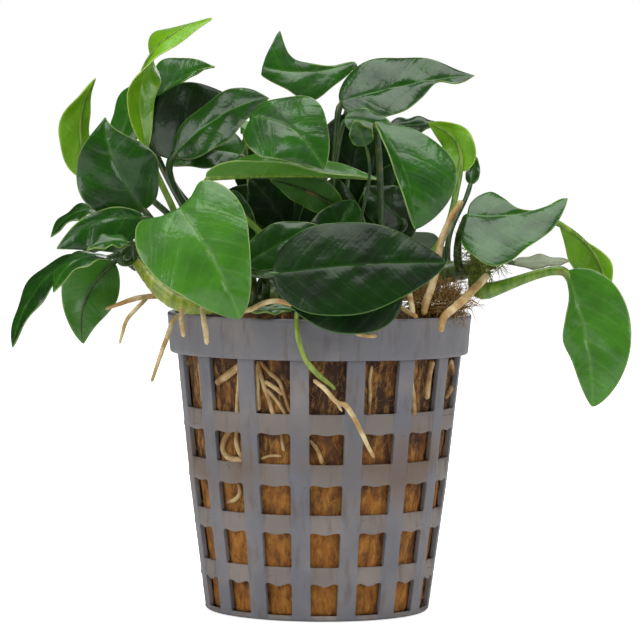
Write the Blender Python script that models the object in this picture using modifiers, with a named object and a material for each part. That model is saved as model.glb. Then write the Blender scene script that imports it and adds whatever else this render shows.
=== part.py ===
"""Anubias plant growing in a slotted net pot: the construction, in metres, +Z up.

The frame's origin is the middle of the pot's underside.  The side of the plant that
is looked at looks along -Y.  Leaves, stems and roots are laid out from growth tables
in millimetres; each leaf is one closed loft of its stalk and its blade.
"""
from dataclasses import dataclass
from math import cos, pi, radians, sin

import bmesh
import bpy
from mathutils import Quaternion, Vector

MM = 0.001

# Net pot
POT_HEIGHT = 48.9
RIM_LOW = 42.3
RIM_TOP_R = 25.0
RIM_LOW_R = 24.5
RIM_WALL = 1.0
WALL_TOP_R = 23.45
WALL_MID_R = 21.15
WALL_MID_Z = 20.5
WALL_FOOT_R = 18.4
WALL = 1.0
FLOOR = 0.75
COLUMNS = 16
COLUMN_TURN = 3.6
RIB_WIDTH = 3.0
WINDOW_ROWS = ((0.95, 6.2), (8.8, 14.45), (17.3, 22.2), (25.5, 30.5), (33.6, 42.22))
SLOTS = 8
SLOT_FROM, SLOT_TO, SLOT_WIDTH = 6.5, 14.5, 2.0
TURN_STEPS = 32

# Wool plug
GAP = 0.35
WOOL_TOP = 45.2

# Leaves
BLADE_THICK = 0.5
MIDRIB_THICK = 0.95
BLADE_STEPS = (0.08, 0.3, 0.55, 0.78, 0.93)
STALK_STEPS = (0.0, 0.45)
BENT_STALK_STEPS = (0.0, 0.4, 0.75)
RING = 8


@dataclass(frozen=True)
class Leaf:
    """One leaf: where its stalk starts, where its blade runs, and how the blade is shaped.

    Lengths are millimetres.  ``right`` and ``left`` are the half widths either side of
    the midrib, seen on the upper face with the tip pointing away.
    """

    name: str
    site: tuple
    neck: tuple
    tip: tuple
    bow: tuple = (0.0, 0.0, 0.0)
    face: tuple = (0.0, -0.8, 0.6)
    right: float = 5.0
    left: float = 5.0
    rise: tuple = None
    reach: tuple = None
    twist: float = 0.0
    fold: tuple = (8.0, 8.0)
    curl: tuple = (0.0, 0.0)
    hook: tuple = (0.0, 0.0, 0.0)
    base: float = 0.55
    point: float = 0.9
    lobe: float = 0.0
    stalk: float = 0.6


@dataclass(frozen=True)
class Tube:
    """A stem or root: the places it runs through, with its radius at each, in millimetres."""

    name: str
    places: tuple
    radii: tuple
    finish: str
    sides: int = 6


LEAVES = (
    # left shoot
    Leaf("young_curled_leaf", (-21.5, -3.2, 56.0), (-28.4, -4.0, 75.6), (-17.9, -1.0, 97.0),
         bow=(-5.2, -1.0, 3.2), face=(0.75, -0.75, 0.1), right=3.6, left=4.8, twist=100.0,
         fold=(12.0, 12.0), base=0.6, point=0.6),
    Leaf("grey_left_leaf", (-19.5, 0.5, 56.0), (-33.2, 4.5, 75.0), (-26.6, 9.0, 86.8),
         bow=(-1.4, 0.0, 1.0), face=(-0.5, -0.75, 0.4), right=4.0, left=3.6),
    Leaf("left_back_leaf", (-17.0, 3.5, 56.0), (-29.0, 11.5, 82.2), (-17.8, 12.0, 89.2),
         bow=(0.4, 0.0, 1.8), face=(-0.5, -0.4, 0.8), right=4.2, left=4.2,
         reach=(-2.0, -0.5, -4.0), rise=(-5.0, 2.0, 9.0)),
    Leaf("lime_left_leaf", (-24.0, 1.5, 57.0), (-38.2, 3.0, 70.6), (-37.8, 1.0, 86.8),
         bow=(-1.8, 0.0, 0.6), face=(-0.55, 0.8, 0.2), right=4.0, left=2.0,
         hook=(0.8, -0.8, 0.3)),
    Leaf("dark_left_leaf", (-25.0, -6.5, 58.5), (-28.4, -11.5, 65.6), (-34.7, -12.5, 80.6),
         bow=(-1.8, -1.0, 0.5), face=(-0.1, -1.0, 0.3), right=6.6, left=7.2, base=0.55,
         point=1.15, lobe=0.6),
    Leaf("grey_strip_leaf", (-29.5, -2.6, 59.4), (-35.4, -2.6, 65.4), (-44.0, -3.6, 60.9),
         bow=(-0.5, 0.0, 1.6), face=(-0.3, -0.35, 0.9), right=3.0, left=3.0),
    Leaf("left_green_leaf", (-27.5, -9.5, 60.0), (-28.2, -14.5, 64.4), (-42.2, -15.5, 59.4),
         bow=(-0.4, -0.5, 2.0), face=(-0.15, -0.8, 0.6), right=3.2, left=4.8),
    Leaf("small_curled_leaf", (-30.0, -14.6, 59.6), (-30.6, -19.4, 60.6), (-37.0, -21.0, 59.4),
         bow=(0.0, 0.0, 0.9), face=(0.0, -0.5, 0.85), right=1.9, left=2.0, stalk=0.4),
    Leaf("long_drooping_leaf", (-31.5, -5.5, 58.4), (-39.5, -5.0, 57.9), (-49.8, -8.0, 43.0),
         bow=(-1.6, 0.0, 1.6), face=(-0.75, -0.5, 0.5), right=4.1, left=4.1),
    Leaf("pale_edge_leaf", (-32.2, -15.4, 58.4), (-33.8, -17.0, 58.2), (-42.3, -20.5, 52.6),
         bow=(-1.0, -0.5, 2.0), face=(-0.4, -0.35, 0.85), right=3.7, left=3.7, stalk=0.5),
    Leaf("hanging_left_leaf", (-31.2, -9.6, 59.6), (-33.2, -11.0, 57.2), (-38.0, -12.0, 44.0),
         bow=(-2.2, -0.5, 0.4), face=(0.15, 0.95, 0.1), right=4.7, left=4.7, stalk=0.5,
         rise=(-0.7, -0.4, -0.6), reach=(0.7, 0.4, 0.8)),
    # front
    Leaf("heart_leaf", (-16.5, -10.5, 54.5), (-22.2, -25.5, 66.4), (-12.4, -29.5, 49.2),
         bow=(0.5, -2.2, 0.6), face=(-0.1, -0.9, 0.35), right=10.0, left=8.2, base=0.42,
         point=0.75, lobe=1.8, reach=(0.6, 4.5, -1.0), fold=(6.0, 6.0)),
    Leaf("front_dark_leaf", (-10.5, -15.0, 52.0), (-7.4, -30.0, 56.2), (19.8, -30.0, 58.2),
         bow=(0.0, -1.0, 0.6), face=(-0.02, -0.9, 0.4), right=8.2, left=7.8, base=0.5,
         point=0.8, fold=(5.0, 5.0)),
    Leaf("under_dark_leaf", (9.5, -15.0, 51.5), (13.0, -25.4, 53.4), (-6.5, -26.4, 53.2),
         bow=(0.0, -1.2, -0.9), face=(0.0, -0.95, 0.3), right=3.0, left=6.0),
    Leaf("rim_leaf", (-2.6, -19.0, 50.4), (-4.2, -22.5, 50.4), (-10.9, -23.4, 49.9),
         face=(0.0, -0.6, 0.8), right=1.2, left=1.2, stalk=0.4, bow=(0.0, 0.0, 0.3)),
    # upper middle
    Leaf("round_dark_leaf", (-15.5, 1.0, 56.5), (-25.0, 2.5, 73.8), (-14.4, 3.0, 83.8),
         bow=(-1.6, 0.0, 1.2), face=(-0.45, -0.85, 0.3), right=5.2, left=8.4, base=0.45),
    Leaf("ridge_leaf", (-18.0, -2.0, 57.0), (-24.0, -3.0, 74.6), (-8.4, -8.0, 83.9),
         bow=(0.0, 0.0, 1.8), face=(-0.1, -0.7, 0.8), right=3.4, left=3.6),
    Leaf("left_inner_leaf", (-12.0, 2.5, 56.5), (-12.8, 3.0, 74.4), (-24.4, 1.0, 72.6),
         bow=(0.0, 0.0, 1.6), face=(0.0, -0.5, 0.85), right=3.2, left=3.2),
    Leaf("bright_edge_leaf", (-11.0, -1.6, 57.0), (-12.8, -1.4, 80.0), (-12.4, -3.4, 75.6),
         bow=(1.2, -0.6, 0.0), face=(0.3, -0.9, 0.1), right=1.6, left=1.6, stalk=0.35,
         reach=(0.0, 3.0, 0.2)),
    Leaf("glossy_middle_leaf", (-8.0, 1.8, 57.0), (-11.2, -11.5, 80.9), (0.6, -17.0, 72.4),
         bow=(1.2, -1.4, 1.8), face=(-0.15, -0.85, 0.5), right=6.6, left=5.8, base=0.45,
         lobe=0.6, reach=(0.0, 9.5, 0.5), rise=(0.0, 0.5, 10.0)),
    Leaf("long_cupped_leaf", (-6.5, -7.6, 56.0), (-18.6, -9.5, 71.2), (9.8, -9.2, 70.8),
         bow=(0.0, -1.6, 0.6), face=(0.0, -0.55, 0.85), right=4.0, left=7.4,
         fold=(48.0, 12.0), reach=(-1.0, 1.5, -3.0)),
    Leaf("top_middle_leaf", (-2.0, 3.5, 56.5), (5.6, 11.0, 90.2), (-9.9, 9.5, 89.2),
         bow=(0.0, 0.0, -1.2), face=(0.1, -0.75, 0.65), right=4.6, left=4.2, stalk=0.55,
         point=0.45, reach=(2.0, 0.5, -3.5)),
    Leaf("top_right_leaf", (2.0, 0.8, 56.5), (3.0, 4.0, 83.4), (25.3, 3.0, 88.0),
         bow=(0.6, 0.0, 0.8), face=(-0.05, -0.8, 0.6), right=5.8, left=6.0, point=1.2,
         reach=(-0.6, 1.0, -3.0)),
    Leaf("small_green_leaf", (1.0, -2.4, 56.8), (3.8, -1.0, 80.6), (12.4, -3.0, 78.4),
         bow=(0.0, 0.0, 0.6), face=(0.0, -0.85, 0.5), right=2.6, left=2.4, stalk=0.5,
         reach=(-0.8, 0.5, -2.0)),
    Leaf("dark_inner_left_leaf", (-4.6, -3.4, 56.8), (-5.6, -2.0, 63.0), (-11.6, -2.6, 71.0),
         bow=(0.0, -1.0, 0.6), face=(-0.1, -0.9, 0.4), right=3.6, left=4.0),
    Leaf("olive_leaf", (3.5, -6.5, 56.5), (3.4, -6.6, 66.0), (-8.2, -7.0, 70.6),
         bow=(0.0, 0.0, 0.8), face=(0.2, 0.9, 0.3), right=3.0, left=3.0),
    Leaf("dark_inner_right_leaf", (7.5, -3.6, 57.0), (13.6, -4.6, 64.2), (7.2, -5.0, 69.6),
         bow=(0.0, -1.0, 0.0), face=(0.1, -0.9, 0.4), right=4.0, left=4.0),
    Leaf("veined_inner_leaf", (-8.6, -11.0, 53.6), (-11.6, -18.0, 57.4), (0.2, -17.5, 63.4),
         bow=(0.0, -0.6, 0.6), face=(0.0, -0.9, 0.4), right=3.6, left=3.6),
    # right shoot
    Leaf("right_middle_leaf", (10.0, -7.0, 56.5), (8.6, -16.5, 80.2), (15.0, -22.5, 63.2),
         bow=(2.6, -0.6, 0.6), face=(0.15, -0.95, 0.3), right=3.0, left=7.3, base=0.85,
         point=0.8, reach=(0.8, 3.5, -1.6)),
    Leaf("bright_fold_leaf", (5.4, -10.2, 56.5), (7.2, -14.4, 76.4), (5.4, -16.0, 80.4),
         face=(-0.3, -0.8, 0.2), right=2.0, left=2.0, stalk=0.45),
    Leaf("lime_right_leaf", (17.5, -3.0, 57.6), (23.0, 2.0, 72.2), (17.4, 4.0, 79.4),
         bow=(2.2, 0.0, 1.4), face=(0.3, 0.9, 0.3), right=3.6, left=2.8,
         rise=(4.5, 1.0, 5.0), hook=(0.2, 0.0, 0.8)),
    Leaf("dark_back_right_leaf", (12.0, 0.8, 57.4), (11.2, 9.0, 79.4), (19.6, 9.0, 80.2),
         face=(0.0, -0.6, 0.8), right=2.8, left=2.4, stalk=0.5),
    Leaf("small_grey_leaf", (21.0, 1.2, 58.8), (25.0, 9.0, 70.0), (26.0, 10.0, 74.6),
         face=(0.0, -0.9, 0.3), right=1.2, left=1.2, stalk=0.45),
    Leaf("right_grey_leaf", (22.4, -6.2, 59.2), (23.6, -13.0, 65.4), (39.8, -13.0, 68.2),
         bow=(0.0, -0.8, -1.2), face=(0.0, -0.8, 0.6), right=9.4, left=3.4, base=0.42,
         lobe=0.6, reach=(-0.6, 2.6, -2.0)),
    Leaf("right_lime_leaf", (25.2, -2.8, 59.4), (39.0, -3.0, 64.0), (47.0, -4.0, 51.0),
         bow=(2.0, 0.0, 1.4), face=(0.3, 0.9, 0.2), right=2.6, left=4.6, base=0.9),
    Leaf("big_drooping_leaf", (27.4, -7.4, 53.0), (40.0, -9.0, 56.4), (44.4, -10.5, 34.4),
         bow=(1.0, -0.6, 0.4), face=(0.3, -0.9, 0.2), right=3.4, left=7.6, base=0.5,
         point=0.7, stalk=0.85, reach=(-3.4, 0.0, 0.6), rise=(4.0, 0.0, 1.0)),
    Leaf("pale_torn_leaf", (27.6, 1.0, 58.0), (32.0, 3.0, 57.2), (41.4, 3.0, 57.6),
         face=(0.0, -0.6, 0.8), right=1.8, left=1.8, stalk=0.45),
    # back shoot
    Leaf("back_low_left_leaf", (-8.5, 13.8, 55.4), (-12.0, 20.0, 62.5), (-22.0, 31.0, 55.0),
         bow=(0.0, 0.0, 1.6), face=(-0.3, 0.5, 0.8), right=7.0, left=7.0, base=0.45),
    Leaf("back_middle_leaf", (-3.5, 14.2, 55.6), (0.0, 24.0, 66.0), (2.0, 37.0, 52.0),
         bow=(0.0, 1.5, 1.5), face=(0.0, 0.8, 0.6), right=7.4, left=7.4, base=0.42,
         lobe=1.2, reach=(0.0, -3.0, -1.5)),
    Leaf("back_low_right_leaf", (5.0, 14.2, 56.2), (12.0, 21.0, 61.5), (20.5, 32.0, 53.0),
         bow=(0.0, 1.0, 1.6), face=(0.3, 0.6, 0.7), right=6.4, left=6.4, base=0.45),
    Leaf("back_high_leaf", (-1.2, 8.8, 56.4), (-3.0, 14.0, 72.0), (-7.0, 27.0, 75.0),
         bow=(0.0, 0.0, 1.6), face=(-0.1, -0.1, 1.0), right=6.2, left=6.2, base=0.45),
    Leaf("back_right_leaf", (7.5, 9.0, 56.8), (10.0, 14.0, 70.0), (19.5, 24.0, 71.0),
         bow=(0.0, 0.0, 1.6), face=(0.2, 0.2, 0.95), right=5.8, left=5.8, base=0.45),
)

ROOTS = (
    Tube("rhizome_left", ((-12.5, -12.0, 50.0), (-17.3, -17.0, 50.6), (-21.5, -18.2, 50.8),
         (-25.5, -17.0, 53.0), (-29.8, -12.5, 57.6)), (1.2, 1.3, 1.3, 1.2, 0.7), "sheath", 8),
    Tube("rhizome_left_upper", ((-12.5, -1.0, 50.0), (-17.5, -1.2, 53.6), (-23.5, -3.0, 54.6),
         (-29.8, -6.2, 56.2)), (1.6, 1.6, 1.4, 0.9), "stem", 8),
    Tube("rhizome_middle", ((-9.0, -6.5, 51.0), (-2.0, -3.0, 54.0), (9.0, -3.0, 54.4)),
         (1.8, 1.9, 1.6), "stem", 8),
    Tube("rhizome_right", ((12.4, -4.0, 52.0), (18.0, -3.0, 55.0), (26.0, -3.0, 56.6)),
         (1.7, 1.8, 1.2), "stem", 8),
    Tube("rhizome_back", ((-12.0, 11.6, 51.0), (-3.0, 11.6, 53.0), (9.0, 11.6, 54.0)),
         (1.6, 1.8, 1.4), "stem", 8),
    Tube("forked_left_root", ((-22.0, -10.6, 51.0), (-25.0, -11.4, 51.8), (-28.3, -14.0, 51.7),
         (-30.6, -15.0, 51.2), (-34.4, -15.0, 49.8)), (0.6, 0.6, 0.55, 0.5, 0.3), "root"),
    Tube("left_side_root", ((-21.2, -15.0, 49.4), (-23.2, -16.8, 48.4), (-24.3, -18.4, 45.6),
         (-25.4, -19.0, 42.4), (-26.7, -19.0, 38.4)), (0.4, 0.45, 0.5, 0.45, 0.3), "root"),
    Tube("yellow_front_root", ((-12.6, -22.6, 49.9), (-10.6, -25.4, 50.6), (-8.6, -26.6, 51.6),
         (-6.6, -27.6, 51.9), (-4.2, -28.6, 51.4)), (0.45, 0.5, 0.5, 0.5, 0.4), "root"),
    Tube("green_runner", ((-3.6, -24.4, 50.2), (-3.5, -26.6, 47.6), (-3.2, -27.2, 45.6),
         (-2.3, -27.0, 43.0), (-0.7, -26.6, 40.9), (2.7, -26.2, 38.0)),
         (0.5, 0.6, 0.6, 0.6, 0.7, 0.35), "stem"),
    Tube("front_root", ((-0.9, -27.8, 39.6), (1.1, -27.8, 38.0), (2.9, -27.4, 36.0),
         (4.4, -27.0, 35.4), (5.9, -26.4, 33.0), (7.4, -25.6, 30.0), (8.9, -24.8, 27.0)),
         (0.35, 0.45, 0.45, 0.55, 0.5, 0.45, 0.3), "root"),
    Tube("rim_root", ((3.0, -24.8, 49.9), (4.2, -26.4, 48.4), (6.0, -27.2, 46.9),
         (9.1, -27.6, 46.5)), (0.4, 0.45, 0.45, 0.4), "root"),
    Tube("thick_right_root", ((27.0, -11.0, 55.6), (25.2, -14.5, 53.9), (22.2, -20.0, 51.4),
         (19.8, -23.6, 49.5), (19.2, -25.6, 47.2)), (0.75, 0.8, 0.8, 0.75, 0.6), "root"),
    Tube("tall_right_root", ((23.0, -7.6, 67.6), (21.2, -9.0, 64.8), (19.6, -10.4, 61.0),
         (18.4, -13.6, 55.0), (17.2, -15.6, 51.6), (16.7, -16.6, 49.4)),
         (0.6, 0.65, 0.7, 0.75, 0.75, 0.6), "root"),
    Tube("short_right_root", ((14.4, -13.6, 53.2), (14.8, -17.6, 50.6), (14.9, -18.6, 49.2)),
         (0.6, 0.6, 0.5), "root"),
)

MOSS_PLACE = (26.8, -7.6, 59.4)
MOSS_SIZE = (2.0, 1.8, 2.8)

FINISHES = {
    "leaf": ((0.045, 0.16, 0.03, 1.0), 0.35),
    "lime": ((0.20, 0.38, 0.03, 1.0), 0.4),
    "stem": ((0.10, 0.24, 0.03, 1.0), 0.45),
    "sheath": ((0.42, 0.48, 0.10, 1.0), 0.5),
    "root": ((0.62, 0.43, 0.17, 1.0), 0.6),
    "pot": ((0.20, 0.20, 0.23, 1.0), 0.45),
    "wool": ((0.23, 0.12, 0.04, 1.0), 0.95),
    "moss": ((0.22, 0.27, 0.06, 1.0), 0.9),
}


def unit(vector):
    """Return the vector at length one."""
    return Vector(vector).normalized()


def midrib(leaf, t):
    """Return the place of the midrib at t from the neck (0) to the tip (1)."""
    neck, tip = Vector(leaf.neck), Vector(leaf.tip)
    if t < 0.0:
        return neck + (midrib(leaf, 0.01) - neck) * (t / 0.01)
    return (neck + (tip - neck) * t + Vector(leaf.bow) * (4.0 * t * (1.0 - t))
            + Vector(leaf.hook) * t ** 4)


def blade_frame(leaf, t):
    """Return along, upward and sideways directions of the blade at t."""
    t = min(max(t, 0.0), 0.99)
    along = unit(midrib(leaf, t + 0.01) - midrib(leaf, t))
    face = Vector(leaf.face)
    up = unit(face - along * face.dot(along))
    turn = min(max((t - 0.25) / 0.5, 0.0), 1.0)
    turn = turn * turn * (3.0 - 2.0 * turn)
    up = Quaternion(along, radians(leaf.twist) * turn) @ up
    return along, up, along.cross(up)


def half_width(leaf, m):
    """Return the outline's share of its widest half width at m."""
    peak = leaf.base / (leaf.base + leaf.point)
    top = peak ** leaf.base * (1.0 - peak) ** leaf.point
    return (m ** leaf.base) * ((1.0 - m) ** leaf.point) / top


def blade_place(leaf, m, u):
    """Return the place and upward direction of the blade's middle surface.

    m runs along the blade and u from -1 (left margin) to 1 (right margin).
    """
    share = abs(u)
    bump = (m / 0.07) * 2.718281828 ** (1.0 - m / 0.07)
    length = (Vector(leaf.tip) - Vector(leaf.neck)).length
    t = m - leaf.lobe / length * bump * share * share
    along, up, side = blade_frame(leaf, t)
    pick = 0 if u > 0.0 else 1
    reach = (leaf.right if u > 0.0 else leaf.left) * half_width(leaf, m) * share
    angle = radians(leaf.fold[pick])
    bend = radians(leaf.curl[pick]) * share
    if abs(bend) < 1e-4:
        flat, lift = reach * cos(angle), reach * sin(angle)
    else:
        flat = reach * (sin(angle + bend) - sin(angle)) / bend
        lift = reach * (cos(angle) - cos(angle + bend)) / bend
    sign = 1.0 if u > 0.0 else -1.0
    place = midrib(leaf, t) + side * (sign * flat) + up * lift
    tilt = angle + bend
    if share == 0.0:
        tilt = 0.0
    normal = unit(up * cos(tilt) - side * (sign * sin(tilt)))
    return place, normal


def stalk_place(leaf, t):
    """Return the place on the stalk at t from its site (0) to the neck (1)."""
    site, neck = Vector(leaf.site), Vector(leaf.neck)
    span = (neck - site).length
    rise = Vector(leaf.rise) if leaf.rise else Vector((0.0, 0.0, 0.35 * span))
    if leaf.reach:
        reach = Vector(leaf.reach)
    else:
        reach = blade_frame(leaf, 0.0)[0] * (-0.3 * span)
    first, second = site + rise, neck + reach
    back = 1.0 - t
    return (site * back ** 3 + first * (3.0 * back * back * t)
            + second * (3.0 * back * t * t) + neck * t ** 3)


def stalk_rings(leaf):
    """Return the stalk's rings from the site to the neck, carried back from the blade."""
    along, up, side = blade_frame(leaf, 0.0)
    steps = list(BENT_STALK_STEPS if leaf.reach else STALK_STEPS) + [1.0]
    ways = []
    for step in steps:
        low, high = max(step - 0.02, 0.0), min(step + 0.02, 1.0)
        ways.append(unit(stalk_place(leaf, high) - stalk_place(leaf, low)))
    ways[-1] = unit(ways[-1] + along)
    rings = []
    way = along
    for step, here in zip(reversed(steps), reversed(ways)):
        turn = way.rotation_difference(here)
        up, side = turn @ up, turn @ side
        way = here
        centre = stalk_place(leaf, step)
        ring = []
        for index in range(RING):
            angle = 2.0 * pi * index / RING
            ring.append(centre + side * (leaf.stalk * cos(angle)) + up * (leaf.stalk * sin(angle)))
        rings.append(ring)
    return list(reversed(rings))


def blade_rings(leaf):
    """Return the blade's rings: right margin, over the upper face, left margin, under."""
    rings = []
    for m in BLADE_STEPS:
        ring = []
        thin = 1.0 - 0.4 * m
        for u, face in ((1.0, 0), (0.5, 1), (0.0, 1), (-0.5, 1), (-1.0, 0), (-0.5, -1),
                        (0.0, -1), (0.5, -1)):
            place, normal = blade_place(leaf, m, u)
            thick = (MIDRIB_THICK if u == 0.0 else BLADE_THICK) * thin
            ring.append(place + normal * (0.5 * thick * face))
        rings.append(ring)
    return rings


def link(obj):
    """Put an object in the plant's collection and return it."""
    COLLECTION.objects.link(obj)
    return obj


def give_finish(obj, finish):
    """Give the object its own plain material."""
    colour, rough = FINISHES[finish]
    material = bpy.data.materials.new(obj.name + "_finish")
    material.use_nodes = True
    shader = material.node_tree.nodes["Principled BSDF"]
    shader.inputs["Base Color"].default_value = colour
    shader.inputs["Roughness"].default_value = rough
    material.diffuse_color = colour
    obj.data.materials.clear()
    obj.data.materials.append(material)


def loft(name, rings, tip, finish):
    """Join rings of equal count into one closed solid with a flat start and a tip."""
    mesh = bmesh.new()
    rows = [[mesh.verts.new(place * MM) for place in ring] for ring in rings]
    count = len(rows[0])
    mesh.faces.new(list(reversed(rows[0])))
    for low, high in zip(rows[:-1], rows[1:]):
        for index in range(count):
            after = (index + 1) % count
            mesh.faces.new((low[index], low[after], high[after], high[index]))
    end = mesh.verts.new(tip * MM)
    for index in range(count):
        mesh.faces.new((rows[-1][index], rows[-1][(index + 1) % count], end))
    bmesh.ops.triangulate(mesh, faces=mesh.faces[:])
    bmesh.ops.recalc_face_normals(mesh, faces=mesh.faces[:])
    data = bpy.data.meshes.new(name)
    mesh.to_mesh(data)
    mesh.free()
    obj = link(bpy.data.objects.new(name, data))
    give_finish(obj, finish)
    return obj


def build_leaf(leaf):
    """Build one leaf as a loft of its stalk and blade."""
    rings = stalk_rings(leaf) + blade_rings(leaf)
    finish = "lime" if "lime" in leaf.name or "young" in leaf.name else "leaf"
    return loft(leaf.name, rings, midrib(leaf, 1.0), finish)


def build_tube(tube):
    """Build a root or stem from a bevelled curve with filled ends."""
    curve = bpy.data.curves.new(tube.name + "_path", "CURVE")
    curve.dimensions = "3D"
    curve.bevel_depth = MM
    curve.bevel_resolution = 1 if tube.sides == 6 else 2
    curve.use_fill_caps = True
    curve.resolution_u = 1
    spline = curve.splines.new("POLY")
    spline.points.add(len(tube.places) - 1)
    for point, place, radius in zip(spline.points, tube.places, tube.radii):
        point.co = (place[0] * MM, place[1] * MM, place[2] * MM, 1.0)
        point.radius = radius
    path = link(bpy.data.objects.new(tube.name + "_path", curve))
    bpy.context.view_layer.update()
    shape = path.evaluated_get(bpy.context.evaluated_depsgraph_get())
    data = bpy.data.meshes.new_from_object(shape)
    data.name = tube.name
    bpy.data.objects.remove(path)
    mesh = bmesh.new()
    mesh.from_mesh(data)
    bmesh.ops.remove_doubles(mesh, verts=mesh.verts[:], dist=1e-6)
    bmesh.ops.recalc_face_normals(mesh, faces=mesh.faces[:])
    mesh.to_mesh(data)
    mesh.free()
    obj = link(bpy.data.objects.new(tube.name, data))
    give_finish(obj, tube.finish)
    return obj


def turned(name, profile, steps):
    """Turn an open profile whose ends lie on the axis into a closed solid."""
    data = bpy.data.meshes.new(name)
    places = [(radius * MM, 0.0, height * MM) for radius, height in profile]
    edges = [(index, index + 1) for index in range(len(places) - 1)]
    data.from_pydata(places, edges, [])
    obj = link(bpy.data.objects.new(name, data))
    screw = obj.modifiers.new("turn", "SCREW")
    screw.axis = "Z"
    screw.steps = steps
    screw.render_steps = steps
    screw.use_merge_vertices = True
    screw.merge_threshold = 1e-5
    apply_all(obj)
    fix_faces(obj)
    return obj


def apply_all(obj):
    """Replace the object's mesh by its evaluated shape and drop the modifiers."""
    bpy.context.view_layer.update()
    shape = obj.evaluated_get(bpy.context.evaluated_depsgraph_get())
    data = bpy.data.meshes.new_from_object(shape)
    obj.modifiers.clear()
    obj.data = data
    data.name = obj.name


def fix_faces(obj):
    """Merge doubled corners and turn every face outward."""
    mesh = bmesh.new()
    mesh.from_mesh(obj.data)
    bmesh.ops.remove_doubles(mesh, verts=mesh.verts[:], dist=1e-6)
    bmesh.ops.recalc_face_normals(mesh, faces=mesh.faces[:])
    mesh.to_mesh(obj.data)
    mesh.free()


def wall_radius(height):
    """Return the outer radius of the pot's wall at a height."""
    if height < WALL_MID_Z:
        share = height / WALL_MID_Z
        return WALL_FOOT_R + (WALL_MID_R - WALL_FOOT_R) * share
    share = (height - WALL_MID_Z) / (RIM_LOW - WALL_MID_Z)
    return WALL_MID_R + (WALL_TOP_R - WALL_MID_R) * share


def window_cutter():
    """Return one mesh object holding a tapered block for every window and floor slot."""
    mesh = bmesh.new()
    for low, high in WINDOW_ROWS:
        for column in range(COLUMNS):
            turn = radians(COLUMN_TURN + column * 360.0 / COLUMNS)
            out = Vector((sin(turn), -cos(turn), 0.0))
            side = Vector((cos(turn), sin(turn), 0.0))
            corners = []
            for height in (low, high):
                radius = wall_radius(height)
                half = (2.0 * pi * radius / COLUMNS - RIB_WIDTH) / 2.0
                for depth in (radius - 3.0, radius + 2.0):
                    for sign in (-1.0, 1.0):
                        place = out * depth + side * (half * sign) + Vector((0.0, 0.0, height))
                        corners.append(mesh.verts.new(place * MM))
            block(mesh, corners)
    for index in range(SLOTS):
        turn = radians(index * 360.0 / SLOTS)
        out = Vector((sin(turn), -cos(turn), 0.0))
        side = Vector((cos(turn), sin(turn), 0.0))
        corners = []
        for height in (-1.0, FLOOR + 1.0):
            for depth in (SLOT_FROM, SLOT_TO):
                for sign in (-1.0, 1.0):
                    place = out * depth + side * (0.5 * SLOT_WIDTH * sign)
                    corners.append(mesh.verts.new((place + Vector((0.0, 0.0, height))) * MM))
        block(mesh, corners)
    bmesh.ops.recalc_face_normals(mesh, faces=mesh.faces[:])
    data = bpy.data.meshes.new("window_cutter")
    mesh.to_mesh(data)
    mesh.free()
    return link(bpy.data.objects.new("window_cutter", data))


def block(mesh, c):
    """Add the six faces of a block whose corners run height, then depth, then side."""
    for order in ((0, 1, 3, 2), (4, 6, 7, 5), (0, 4, 5, 1), (2, 3, 7, 6), (0, 2, 6, 4),
                  (1, 5, 7, 3)):
        mesh.faces.new([c[index] for index in order])


def build_pot():
    """Build the net pot: a turned cup with its windows and floor slots cut through."""
    profile = (
        (0.0, 0.0),
        (WALL_FOOT_R - 0.4, 0.0),
        (WALL_FOOT_R, 0.5),
        (WALL_MID_R, WALL_MID_Z),
        (WALL_TOP_R, RIM_LOW),
        (RIM_LOW_R, RIM_LOW),
        (RIM_TOP_R, POT_HEIGHT),
        (RIM_TOP_R - RIM_WALL, POT_HEIGHT),
        (RIM_LOW_R - RIM_WALL, RIM_LOW + 1.0),
        (WALL_TOP_R - WALL, RIM_LOW),
        (WALL_MID_R - WALL, WALL_MID_Z),
        (WALL_FOOT_R - WALL, FLOOR),
        (0.0, FLOOR),
    )
    pot = turned("net_pot", profile, TURN_STEPS)
    cutter = window_cutter()
    cut = pot.modifiers.new("windows", "BOOLEAN")
    cut.operation = "DIFFERENCE"
    cut.solver = "EXACT"
    cut.object = cutter
    apply_all(pot)
    bpy.data.objects.remove(cutter)
    give_finish(pot, "pot")
    return pot


def build_wool():
    """Build the plug of stone wool that fills the pot."""
    inner = WALL + GAP
    profile = (
        (0.0, FLOOR + GAP),
        (WALL_FOOT_R - inner, FLOOR + GAP),
        (WALL_MID_R - inner, WALL_MID_Z),
        (WALL_TOP_R - inner, RIM_LOW),
        (WALL_TOP_R - inner - 1.0, WOOL_TOP),
        (0.0, WOOL_TOP + 0.6),
    )
    wool = turned("wool_plug", profile, TURN_STEPS)
    give_finish(wool, "wool")
    return wool


def build_moss():
    """Build the lump that stands for the tuft of moss and old fibres."""
    mesh = bmesh.new()
    bmesh.ops.create_icosphere(mesh, subdivisions=2, radius=1.0)
    for vert in mesh.verts:
        swell = 1.0 + 0.12 * sin(vert.co.x * 5.0 + vert.co.z * 3.0) * cos(vert.co.y * 4.0)
        for axis in range(3):
            vert.co[axis] = (vert.co[axis] * swell * MOSS_SIZE[axis] + MOSS_PLACE[axis]) * MM
    data = bpy.data.meshes.new("moss_tuft")
    mesh.to_mesh(data)
    mesh.free()
    moss = link(bpy.data.objects.new("moss_tuft", data))
    give_finish(moss, "moss")
    return moss


for old in list(bpy.data.objects):
    bpy.data.objects.remove(old)
COLLECTION = bpy.data.collections.new("anubias_in_net_pot")
bpy.context.scene.collection.children.link(COLLECTION)

build_pot()
build_wool()
for each in ROOTS:
    build_tube(each)
for each in LEAVES:
    build_leaf(each)
build_moss()
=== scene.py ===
"""Looks of an anubias plant growing in a slotted net pot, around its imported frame.

Lengths in the growth tables are millimetres in the frame's own axes; meshes are metres.
"""

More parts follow.
